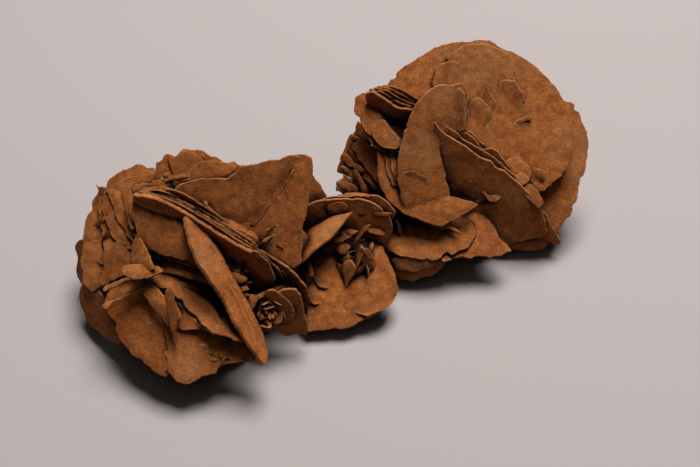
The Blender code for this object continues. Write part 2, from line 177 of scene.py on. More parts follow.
def lensShape(thick, rim, seed, jag, spacing):
    # two uneven faces that meet in a blunt ragged rim: points, triangles and the rim's count
    rng = np.random.default_rng(seed)
    edge = np.array([point[:2] for point in smoothRim(rim, seed, jag)])
    alongRim = np.roll(edge, -1, 0) - np.roll(edge, 1, 0)
    inward = np.stack([-alongRim[:, 1], alongRim[:, 0]], 1) / np.linalg.norm(alongRim, axis=1)[:, None]
    if ((edge - np.roll(edge, 1, 0))[:, 0] * (edge + np.roll(edge, 1, 0))[:, 1]).sum() > 0:
        inward = -inward
    shoulder = edge + inward * lens["chamfer"]
    keep = inside(shoulder, edge) & (rimDistance(shoulder, edge) > lens["chamfer"] * 0.8)
    flat = np.concatenate([edge, shoulder[keep], facePoints(edge, spacing, rng)])
    loop = [(i, (i + 1) % len(edge)) for i in range(len(edge))]
    found = geometry.delaunay_2d_cdt([Vector(point) for point in flat], loop, [], 1, 1e-5)
    flat = np.array([tuple(point) for point in found[0]])
    faces = np.array([face for face in found[2] if len(face) == 3])
    rimmed = np.array([any(source < len(edge) for source in sources) for sources in found[3]])
    away = rimDistance(flat, edge)
    away[rimmed] = 0
    reach = away.max()
    thick = min(thick, reach * 0.9)
    rimHalf = thick * lens["rimShare"]
    slope = np.clip(away / (0.7 * reach), 0, 1)
    bulge = rimHalf * np.clip(away / lens["chamfer"], 0, 1) + (thick / 2 - rimHalf) * slope**lens["crown"]
    fade = np.clip(away / 2.0, 0, 1)
    count = len(flat)
    points = []
    for side in (1, -1):
        shift = Vector((seed * 3.1, side * 40.0, seed * 1.7))
        rough = np.array([sum(high * noise.noise(Vector((x, y, 0)) / long + shift)
                              for long, high in lens["swell"]) for x, y in flat])
        height = np.maximum(bulge + rough * fade, lens["least"] * (away > 0))
        points.append(np.column_stack([flat, side * height]))
    under = np.where(rimmed, np.arange(count), np.arange(count) + count)
    triangles = np.concatenate([faces, under[faces[:, ::-1]]])
    used = np.unique(triangles)
    order = np.full(2 * count, -1)
    order[used] = np.arange(len(used))
    return np.concatenate(points)[used], order[triangles], order[:count][rimmed]


def isClosed(triangles):
    pairs = np.sort(np.concatenate([triangles[:, [0, 1]], triangles[:, [1, 2]], triangles[:, [2, 0]]]), 1)
    return (np.unique(pairs, axis=0, return_counts=True)[1] == 2).all()


rimPoints = []


def growBlade(name, place, facing, tilt, thick, rim, seed, jag, spacing):
    # a rim that would cross itself is made again, each time less ragged, until the blade closes
    reach = max(math.hypot(x, y) for x, y in rim)
    jag *= min(1, reach / lens["smallReach"])
    for ragged in (jag, 0.5 * jag, 0.2 * jag, 0):
        points, triangles, rimmed = lensShape(thick, rim, seed, ragged, spacing)
        if isClosed(triangles):
            break
    mesh = bpy.data.meshes.new(name)
    mesh.from_pydata((points * mm).tolist(), [], triangles.tolist())
    blade = bpy.data.objects.new(name, mesh)
    bpy.context.scene.collection.objects.link(blade)
    pickOnly(blade)
    bpy.ops.object.mode_set(mode="EDIT")
    bpy.ops.mesh.select_all(action="SELECT")
    bpy.ops.mesh.normals_make_consistent(inside=False)
    bpy.ops.object.mode_set(mode="OBJECT")
    heading = Matrix.Rotation(lie + math.radians(facing + 90), 4, "Z")
    lean = Matrix.Rotation(math.radians(tilt), 4, "X")
    blade.matrix_world = Matrix.Translation(inFrame(place)) @ (heading @ lean)
    bpy.ops.object.transform_apply(location=True, rotation=True, scale=True)
    rimPoints.extend(mesh.vertices[i].co.copy() for i in rimmed)
    return blade


def groundBlock():
    # everything under the table's height is cut away with it
    pickNothing()
    size = 400 * mm
    bpy.ops.mesh.primitive_cube_add(size=size, location=(0, 0, -size / 2))
    bpy.ops.object.transform_apply(location=True, rotation=True, scale=True)
    return bpy.context.object


def growTogether(name, blades):
    # joins blades into a single skin, without their hidden parts
    others = bpy.data.collections.new(name)
    bpy.context.scene.collection.children.link(others)
    piece = blades[0]
    for blade in blades[1:]:
        for owner in list(blade.users_collection):
            owner.objects.unlink(blade)
        others.objects.link(blade)
    pickOnly(piece)
    join = piece.modifiers.new("grown", "BOOLEAN")
    join.operation = "UNION"
    join.solver = "MANIFOLD"
    join.operand_type = "COLLECTION"
    join.collection = others
    bpy.ops.object.modifier_apply(modifier="grown")
    if "grown" in piece.modifiers:
        # the solver can fail and still say that it finished, and then only the first blade is kept
        piece.modifiers.remove(piece.modifiers["grown"])
        print(piece.name, "weld failed:", len(blades) - 1, "small crystals are left out")
    for blade in blades[1:]:
        bpy.data.objects.remove(blade)
    bpy.data.collections.remove(others)
    return piece


def standFlat(piece):
    ground = groundBlock()
    pickOnly(piece)
    cut = piece.modifiers.new("standsFlat", "BOOLEAN")
    cut.operation = "DIFFERENCE"
    cut.solver = "MANIFOLD"
    cut.object = ground
    bpy.ops.object.modifier_apply(modifier=cut.name)
    bpy.data.objects.remove(ground)


# Where paler worn rims, partly a painted highlight, and painted shade lie on the stone, mm from a rim and
# from a corner between blades
wearAndShade = {"rimFrom": 0.2, "rimTo": 0.8, "cornerFrom": 0.4, "cornerTo": 2.0, "cornerAngle": -0.45}


def cornersOf(mesh):
    # middles of the edges where two blades meet in a hollow
    bm = bmesh.new()
    bm.from_mesh(mesh)
    corners = [(edge.verts[0].co + edge.verts[1].co) / 2 for edge in bm.edges
               if len(edge.link_faces) == 2 and edge.calc_face_angle_signed(0) < wearAndShade["cornerAngle"]]
    bm.free()
    return corners


# Crumbs: small crystals that fill the hollows, sizes in mm
crumb = {
    "least": 0.7, "most": 1.9, "flat": (0.3, 0.6), "thick": (0.3, 0.5), "lean": (10, 85),
    "chipThick": 0.2, "thin": 0.42, "apart": 0.8, "spacing": 0.5, "jag": 0.5, "chipJag": 0.7,
}


def scatterCrumbs(piece, zones, chips, seed):
    # zones are (middle, reach, count), chips single crystals: (centre, facing, tilt, radius, squash)
    draw = random.Random(seed)
    corners = cornersOf(piece.data)
    crumbs = [growBlade("chip", place, facing, tilt, max(crumb["chipThick"] * radius, crumb["thin"]),
                        chipRim(radius, squash, order), seed + 40 + order, crumb["chipJag"], crumb["spacing"])
              for order, (place, facing, tilt, radius, squash) in enumerate(chips)]
    for middle, reach, count in zones:
        centre = inFrame(middle)
        near = [spot for spot in corners if (spot - centre).length < reach * mm]
        draw.shuffle(near)
        taken = []
        for spot in near:
            if len(taken) == count:
                break
            if any((spot - other).length < crumb["apart"] * mm for other in taken):
                continue
            taken.append(spot)
            radius = draw.uniform(crumb["least"], crumb["most"])
            rim = chipRim(radius, draw.uniform(*crumb["flat"]), len(taken))
            back = Matrix.Rotation(-lie, 3, "Z") @ (spot / mm) - Matrix.Rotation(-lie, 3, "Z") @ slide
            crumbs.append(growBlade("crumb", back, draw.uniform(-180, 180), draw.uniform(*crumb["lean"]),
                                    radius * draw.uniform(*crumb["thick"]), rim, seed + len(crumbs),
                                    crumb["jag"], crumb["spacing"]))
    return growTogether(piece.name, [piece] + crumbs) if crumbs else piece


# How far off a loose crystal is looked for and how deep it is pushed in, mm
settle = {"reach": 1.7, "sink": 0.3}


def settleLoose(piece):
    # crystals that grew just clear of the rest are pushed in until they touch it
    mesh = bmesh.new()
    mesh.from_mesh(piece.data)
    seen = set()
    groups = []
    for first in list(mesh.verts):
        if first in seen:
            continue
        seen.add(first)
        group = [first]
        for vert in group:
            for edge in vert.link_edges:
                other = edge.other_vert(vert)
                if other not in seen:
                    seen.add(other)
                    group.append(other)
        groups.append(group)
    groups.sort(key=len, reverse=True)
    joined = groups.pop(0)
    nearest = {}
    while True:
        number = {vert: order for order, vert in enumerate(joined)}
        faces = [[number[vert] for vert in face.verts] for face in mesh.faces if face.verts[0] in number]
        tree = BVHTree.FromPolygons([vert.co for vert in joined], faces)
        for order, group in enumerate(groups):
            for vert in group:
                spot, _, _, gap = tree.find_nearest(vert.co, settle["reach"] * mm)
                if spot and (order not in nearest or gap < nearest[order][0]):
                    nearest[order] = (gap, spot - vert.co)
        if not nearest:
            break
        order = min(nearest, key=lambda key: nearest[key][0])
        gap, step = nearest.pop(order)
        joined = groups[order]
        groups[order] = []
        if gap > 0:
            for vert in joined:
                vert.co += step * (1 + settle["sink"] * mm / gap)
    mesh.to_mesh(piece.data)
    mesh.free()


def treeOf(points):
    tree = KDTree(len(points))
    for index, point in enumerate(points):
        tree.insert(point, index)
    tree.balance()
    return tree


def nearness(points, tree, close, far):
    # 1 where a point of the tree is close, falling to 0 where it is far
    away = np.array([tree.find(point)[2] for point in points]) / mm
    return np.clip((far - away) / (far - close), 0, 1)


def paintWearAndShade(piece, rims):
    mesh = piece.data
    corners = cornersOf(mesh)
    points = [vert.co for vert in mesh.vertices]
    # rims are painted paler: worn gypsum and painted rim highlight
    wornHighlight = nearness(points, treeOf(rims), wearAndShade["rimFrom"], wearAndShade["rimTo"])
    # painted shade near the corners where blades meet
    cornerShade = nearness(points, treeOf(corners), wearAndShade["cornerFrom"], wearAndShade["cornerTo"])
    for name, values in (("wornHighlight", wornHighlight), ("cornerShade", cornerShade)):
        mark = mesh.attributes.new(name, "FLOAT", "POINT")
        mark.data.foreach_set("value", values.astype(np.float32))


# Places painted paler: bare crystal where the sand has worn off, and painted highlight on faces that catch
# the light: (middle in mm), reach in mm
paleHighlightSpots = (
    ((31.9, 32.8, 57.1), 12),
    ((22.9, 20.5, 44.3), 14),
    ((45.1, 54.3, 54.9), 20),
    ((80, 33.9, 30.2), 16),
    ((-5.7, -1.5, 30.7), 9),
    ((21.5, -2.6, 8.4), 12),
    ((-47.6, -23.3, 42.2), 10),
    ((-53, -47.1, 15.5), 9),
    ((58.5, 15.7, 27), 8),
    ((-22.9, -20.9, 26.3), 8),
)


def paintPaleHighlight(piece):
    mesh = piece.data
    paleHighlight = np.zeros(len(mesh.vertices))
    for middle, reach in paleHighlightSpots:
        centre = inFrame(middle)
        away = np.array([(vert.co - centre).length for vert in mesh.vertices]) / mm
        paleHighlight = np.maximum(paleHighlight, np.clip(1.3 - 1.3 * away / reach, 0, 1))
    # kept as paler spots: bare crystal and painted highlight
    mark = mesh.attributes.new("paleHighlight", "FLOAT", "POINT")
    mark.data.foreach_set("value", paleHighlight.astype(np.float32))


# Painted shade: how shut in each place is, from rays that go out from it and soon meet the stone; the stone's
# colour is darkened there as shade would fall
hollowShade = {
    "rays": 10, "reach": 30.0, "lift": 0.06, "spread": 1.02,
    "near": 0.5,            # a far surface shuts a place in by this much less than a touching one
    "ground": 0.5, "down": -0.05,   # a ray that goes down and meets nothing meets the ground
    "blurs": 3, "blur": 0.6,
}


def paintHollowShade(pieces):
    corners, faces = [], []
    for piece in pieces:
        start = len(corners)
        corners.extend(vert.co.copy() for vert in piece.data.vertices)
        faces.extend([start + i for i in face.vertices] for face in piece.data.polygons)
    stone = BVHTree.FromPolygons(corners, faces)
    draw = np.random.default_rng(7)
    for piece in pieces:
        mesh = piece.data
        count = len(mesh.vertices)
        places, normals = np.zeros(count * 3), np.zeros(count * 3)
        mesh.vertices.foreach_get("co", places)
        mesh.vertices.foreach_get("normal", normals)
        places, normals = places.reshape(-1, 3), normals.reshape(-1, 3)
        starts = places + normals * hollowShade["lift"] * mm
        shut = np.zeros(count)
        for turn in range(hollowShade["rays"]):
            way = draw.normal(size=(count, 3))
            way = normals * hollowShade["spread"] + way / np.linalg.norm(way, axis=1, keepdims=True)
            way /= np.linalg.norm(way, axis=1, keepdims=True)
            for index, (spot, out) in enumerate(zip(starts.tolist(), way.tolist())):
                away = stone.ray_cast(spot, out, hollowShade["reach"] * mm)[3]
                if away is not None:
                    shut[index] += 1 - hollowShade["near"] * away / (hollowShade["reach"] * mm)
                elif out[2] < hollowShade["down"]:
                    shut[index] += hollowShade["ground"]
        shut /= hollowShade["rays"]
        edges = np.zeros(len(mesh.edges) * 2, int)
        mesh.edges.foreach_get("vertices", edges)
        first, second = edges.reshape(-1, 2).T
        near = np.maximum(np.bincount(first, minlength=count) + np.bincount(second, minlength=count), 1)
        for turn in range(hollowShade["blurs"]):
            sums = np.bincount(first, shut[second], count) + np.bincount(second, shut[first], count)
            shut = (1 - hollowShade["blur"]) * shut + hollowShade["blur"] * sums / near
        # the share of shut-in rays is kept as painted shade for the stone's colour
        mark = mesh.attributes.new("hollowShade", "FLOAT", "POINT")
        mark.data.foreach_set("value", shut.astype(np.float32))


# Finish of the stone
finish = {
    # the deepest brown is painted shade, laid into the corners where blades meet
    "cornerShade": (0.07, 0.018, 0.004, 1), "brown": (0.22, 0.062, 0.0125, 1),
    # sand is the paler rim colour: worn gypsum and painted rim highlight
    "orange": (0.285, 0.093, 0.02, 1), "sand": (0.40, 0.175, 0.06, 1), "bareHighlight": (0.33, 0.15, 0.055, 1),
    # the hollow values are painted shade: the colour darkens in shut-in places down to the darkest colour
    "roughness": 0.85, "sheen": 0.16, "hollowShadeFrom": 0.34, "hollowShadeTo": 0.64, "hollowShadeDarkest": (0.06, 0.03, 0.015, 1),
    # patterns: size in mm, detail, roughness
    "patches": (9, 4, 0.6), "grains": (0.55, 3, 0.7), "stains": (2.6, 5, 0.7),
    "bareHighlightSpots": (5, 4, 0.6), "rimSpots": (6, 3, 0.6), "grit": (0.6, 4, 0.75),
    "wornHighlightMost": 0.7, "cornerShadeMost": 0.42, "gritStrength": 0.6, "gritHeight": 0.0004,
}


def stoneFinish():
    stone = bpy.data.materials.new("sand_gypsum")
    stone.use_nodes = True
    nodes, links = stone.node_tree.nodes, stone.node_tree.links
    shader = nodes["Principled BSDF"]
    shader.inputs["Roughness"].default_value = finish["roughness"]
    shader.inputs["Specular IOR Level"].default_value = finish["sheen"]
    where = nodes.new("ShaderNodeTexCoord")

    def pattern(name):
        size, detail, rough = finish[name]
        node = nodes.new("ShaderNodeTexNoise")
        node.inputs["Scale"].default_value = 1 / (size * mm)
        node.inputs["Detail"].default_value = detail
        node.inputs["Roughness"].default_value = rough
        links.new(where.outputs["Object"], node.inputs["Vector"])
        return node.outputs["Fac"]

    def ramp(source, stops):
        node = nodes.new("ShaderNodeValToRGB")
        while len(node.color_ramp.elements) < len(stops):
            node.color_ramp.elements.new(0.5)
        for element, (place, colour) in zip(node.color_ramp.elements, stops):
            element.position = place
            element.color = colour
        links.new(source, node.inputs["Fac"])
        return node.outputs["Color"]

    def grey(value):
        return (value, value, value, 1)

    def mix(kind, share, first, second):
        node = nodes.new("ShaderNodeMix")
        node.data_type = "RGBA"
        node.blend_type = kind
        for socket, value in ((node.inputs[0], share), (node.inputs[6], first), (node.inputs[7], second)):
            if hasattr(value, "links"):
                links.new(value, socket)
            else:
                socket.default_value = value
        return node.outputs[2]

    patches = ramp(pattern("patches"), ((0.36, finish["brown"]), (0.62, finish["orange"])))
    grains = ramp(pattern("grains"), ((0.3, (0.62, 0.58, 0.55, 1)), (0.7, (1.25, 1.28, 1.3, 1))))
    stains = ramp(pattern("stains"), ((0.34, (0.66, 0.6, 0.55, 1)), (0.66, (1.24, 1.25, 1.26, 1))))
    coat = mix("MULTIPLY", 1.0, mix("MULTIPLY", 1.0, patches, stains), grains)

    def mark(name):
        node = nodes.new("ShaderNodeAttribute")
        node.attribute_name = name
        return node.outputs["Fac"]

    bareHighlightSpots = ramp(pattern("bareHighlightSpots"), ((0.3, grey(0.1)), (0.65, grey(0.5))))
    # pale spots: bare crystal and painted highlight, in the bare colour
    bareHighlight = mix("MULTIPLY", 1.0, mark("paleHighlight"), bareHighlightSpots)
    coat = mix("MIX", bareHighlight, coat, mix("MULTIPLY", 1.0, grains, finish["bareHighlight"]))
    # rims painted paler: worn gypsum and painted rim highlight
    rims = ramp(mark("wornHighlight"), ((0.3, grey(0)), (1.0, grey(finish["wornHighlightMost"]))))
    rims = mix("MULTIPLY", 1.0, rims, ramp(pattern("rimSpots"), ((0.38, grey(0.3)), (0.62, grey(1)))))
    # painted shade: the corners where blades meet are darkened
    corners = ramp(mark("cornerShade"), ((0.0, grey(0)), (1.0, grey(finish["cornerShadeMost"]))))
    coat = mix("MIX", corners, coat, finish["cornerShade"])
    coat = mix("MIX", rims, coat, finish["sand"])
    # painted shade: shut-in places are darkened towards the darkest colour
    shade = ramp(mark("hollowShade"), ((finish["hollowShadeFrom"], grey(1)), (finish["hollowShadeTo"], finish["hollowShadeDarkest"])))
    coat = mix("MULTIPLY", 1.0, coat, shade)
    links.new(coat, shader.inputs["Base Color"])
    bump = nodes.new("ShaderNodeBump")
    bump.inputs["Strength"].default_value = finish["gritStrength"]
    bump.inputs["Distance"].default_value = finish["gritHeight"]
    links.new(pattern("grit"), bump.inputs["Height"])
    links.new(bump.outputs["Normal"], shader.inputs["Normal"])
    return stone


stone = stoneFinish()
made = []


def makePiece(name, values):
    blades = []
    for order, (key, shape) in enumerate(values["blades"].items()):
        place, facing, tilt, thick, rim = shape
        spacing = lens["spacing"]
        if not isinstance(rim[0], tuple):
            rim = roundRim(*rim, order)
            spacing = lens["hidden"]
        seed = values["seed"] + order
        blades.append(growBlade(key, place, facing, tilt, thick, rim, seed, 1.0, spacing))
    piece = growTogether(name, blades)
    piece.name = piece.data.name = name
    piece = scatterCrumbs(piece, values.get("crumbs", ()), values.get("chips", ()), values["seed"] + 80)
    standFlat(piece)
    settleLoose(piece)
    # paler rims, partly painted highlight, and painted shade in the corners
    paintWearAndShade(piece, rimPoints)
    paintPaleHighlight(piece)
    rimPoints.clear()
    pickOnly(piece)
    bpy.ops.object.shade_smooth_by_angle(angle=math.radians(lens["crisp"]))
    piece.data.materials.clear()
    piece.data.materials.append(stone)
    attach(piece, "root")
    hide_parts("sand_rose")
    made.append(piece)
    triangles = sum(len(face.vertices) - 2 for face in piece.data.polygons)
    print(name, len(values["blades"]), "blades,", triangles, "triangles")


# Each piece: the seed of its unevenness, and its blades as
# name: (centre, facing, tilt, thickness, rim points or (radius, squash)).
# Then come crumbs as (middle, reach, count) and single chips as (centre, facing, tilt, radius, squash)
eastDisc = {
    "seed": 100,
    "blades": {
        "heartEast": ((34, 24, 25), -100, 60, 12, (17, 0.9)),
        "heartEast3": ((20, 26, 28), -130, 60, 10, (14.2, 0.9)),
        "eastBack1": ((54, 46, 22), 75, 72, 3, (17, 0.9)),
        "eastBack2": ((36, 50, 30), 95, 62, 3, (16, 0.9)),
        "eastBack3": ((20, 42, 30), 120, 70, 3, (14, 0.9)),
        "eastLow2": ((56, 34, 14), 60, 122, 3, (19, 0.9)),
        "eastSide": ((64, 28, 13), 30, 112, 2.8, (11.7, 0.9)),
        "eastRib": ((14, 33, 19), 150, 92, 3, (12.6, 0.9)),
        "greatDisc": ((45, 38.1, 40.8), -88, 38, 2.2, ((-33, 4.5), (-28, -9.5), (-14.5, -24),
            (6, -29.5), (15, -26), (20, -25.5), (21.5, -25), (23.5, -23.5), (25.5, -22), (28, -20),
            (29.5, -18), (30.5, -16), (31.5, -13.5), (32, -10), (32.5, -6), (32, -1.5), (31, 1.5),
            (30, 4), (29, 7), (27, 10.5), (24.5, 13.5), (22, 16.5), (18.5, 19.5), (15.5, 21.5),
            (12.5, 23.5), (10, 24), (7.5, 25.5), (5, 27.5), (2.5, 28), (-0.5, 28), (-3, 27.5),
            (-6.5, 27.5), (-10, 27), (-13.5, 26), (-17, 24.5), (-21, 22), (-24.5, 20), (-27.5, 18),
            (-29.5, 15.5), (-31.5, 13.5))),
        "discLayer": ((45, 49.1, 50.9), -89, 43, 0.9, ((-12, -4.5), (-3.5, -13), (8.5, -11.5),
            (13, -4.5), (12.5, -1), (12.5, 1), (12, 3.5), (11.5, 5.5), (10.5, 7), (9, 8.5), (7, 9.5),
            (4.5, 10.5), (2, 11.5), (-0.5, 11.5), (-3, 11.5), (-5.5, 11), (-7.5, 10), (-9, 9),
            (-10.5, 8), (-11.5, 7), (-11.5, 5.5))),
        "discLayerWest": ((37, 46.8, 49.2), -82, 44, 0.8, ((-5, -7.5), (4, -9), (8, -0.5), (6.5, 6),
            (3.5, 8), (1, 8.5), (-1, 8.5), (-2.5, 8.5), (-4.5, 8), (-6, 7), (-7, 5), (-8, 3),
            (-8.5, 0.5))),
        "discFlake": ((56.1, 44.3, 46.8), -102, 49, 0.9, ((-3, -2), (0.5, -6), (4, -4), (4.5, -1),
            (4, 1), (3, 2.5), (2, 4), (0.5, 5.5), (-0.5, 5), (-2.5, 5), (-4.5, 4))),
        "discTip": ((48, 43.1, 45.9), -109, 52, 0.9, ((-2.5, 2), (-2.5, -2), (0.5, -5), (3, -4),
            (3, -0.5), (1.5, 1), (0, 2.5), (-1, 4), (-2, 5.5))),
        "discNub": ((60, 37.5, 41.6), -96, 50, 0.9, ((-1, -2), (0.5, -0.5), (2.5, 0), (3, 1),
            (1.5, 1.5), (0, 1), (-1.5, 0), (-2.5, -1))),
        "discPlate": ((44, 38, 42), -96, 47, 0.9, ((-3.5, -2.5), (-2, -8), (1, -9), (3, -5.5), (4, -1),
            (4.5, 2.5), (3, 5), (1, 6.5), (-1, 7), (-2.5, 6), (-3.5, 4))),
        "discScale": ((64.9, 22.7, 29.2), -115, 56, 0.7, ((-2, -1.5), (0.5, -2), (2.5, -1), (2.5, 1.5),
            (1.5, 2.5), (-0.5, 2.5), (-2, 2))),
        "underDisc": ((67, 31, 27.9), -82, 41, 2, ((2, 23), (-9, 18.5), (-17.5, 5.5), (-16, -12.5),
            (-6.5, -23), (2.5, -26), (4.5, -24.5), (6.5, -22.5), (9, -19.5), (10, -17), (11.5, -15),
            (12.5, -11), (14, -8), (15.5, -4.5), (16.5, -0.5), (17.5, 3.5), (17.5, 7), (17, 9.5),
            (16, 12), (15.5, 15), (14.5, 16.5), (14, 18.5), (12, 19.5), (10, 20.5))),
        "strip": ((8.9, 30.7, 46.5), -110, 32, 1.7, ((-9.5, 5), (-9, 3), (-8, 1.5), (-6, 0), (-5, -1.5),
            (-3, -3.5), (-1, -4.5), (2, -5.5), (5, -7), (9, -8), (12, -7), (11, -3.5), (8.5, -2),
            (6.5, -0.5), (4, 1.5), (1.5, 3), (-1, 5), (-3, 6.5), (-5.5, 8.5), (-7, 9.5), (-8, 9),
            (-9, 8), (-10, 7))),
        "stripLayer": ((12.1, 26.2, 45.7), -110, 32, 0.9, ((-1, -4), (2, -4.5), (5.5, -3.5), (6.5, -1),
            (4, 1), (0.5, 3), (-2, 5), (-4, 4.5), (-5, 2.5), (-5, 0.5), (-4, -2))),
        "stripUnder": ((8.1, 28.2, 42.7), -112, 36, 0.9, ((-5.5, 2.5), (-3.5, 0.5), (-1, -2), (1, -3.5),
            (4, -4.5), (6.5, -4), (4.5, -2), (1.5, 0), (-1.5, 3), (-4.5, 4.5), (-6.5, 5.5))),
        "wall": ((15.8, 33.5, 45), -110, 93, 1.7, ((-9.5, 2), (-4, -8.5), (1.5, -14.5), (7, -10),
            (9.5, 1.5), (8.5, 8.5), (5.5, 8.5), (2.5, 7.5), (0, 7.5), (-2.5, 9), (-5, 10.5), (-7, 11.5),
            (-9, 12), (-11, 10.5))),
        "wallSecond": ((17.1, 34.3, 47), -110, 93, 1.3, ((-9, 2), (-3.5, -6.5), (4, -11.5), (9, -1.5),
            (7.5, 6.5), (4, 6), (1.5, 6.5), (-1, 7), (-3.5, 8.5), (-6, 9.5), (-8, 10), (-11, 9))),
        "wallThird": ((17, 35, 50), -110, 93, 1.3, ((-5.5, -0.5), (0, -6.5), (9, -5.5), (7, 3.5),
            (3.5, 4), (1, 4.5), (-1.5, 5.5), (-4, 7), (-6.5, 7), (-9.5, 6.5))),
        "wallFourth": ((18.1, 35.4, 51), -110, 93, 1.3, ((-6, 0), (-1, -5.5), (8, -5), (6.5, 2), (4, 3),
            (1.5, 4.5), (-1.5, 5.5), (-4, 6.5), (-6.5, 6.5), (-9.5, 5.5))),
        "wallFifth": ((18.9, 35.8, 52), -110, 93, 1.3, ((-5.5, 0), (-1.5, -4.5), (6.5, -6), (6.5, 0.5),
            (5, 2.5), (2.5, 4), (-0.5, 5.5), (-3, 6), (-5.5, 6), (-8.5, 4.5))),
    },
    "crumbs": (((44, 33, 36), 8, 8), ((10, 31, 38), 8, 6), ((45, 50, 18), 18, 14), ((15, 45, 25), 14, 8),),
}
makePiece("eastDisc", eastDisc)

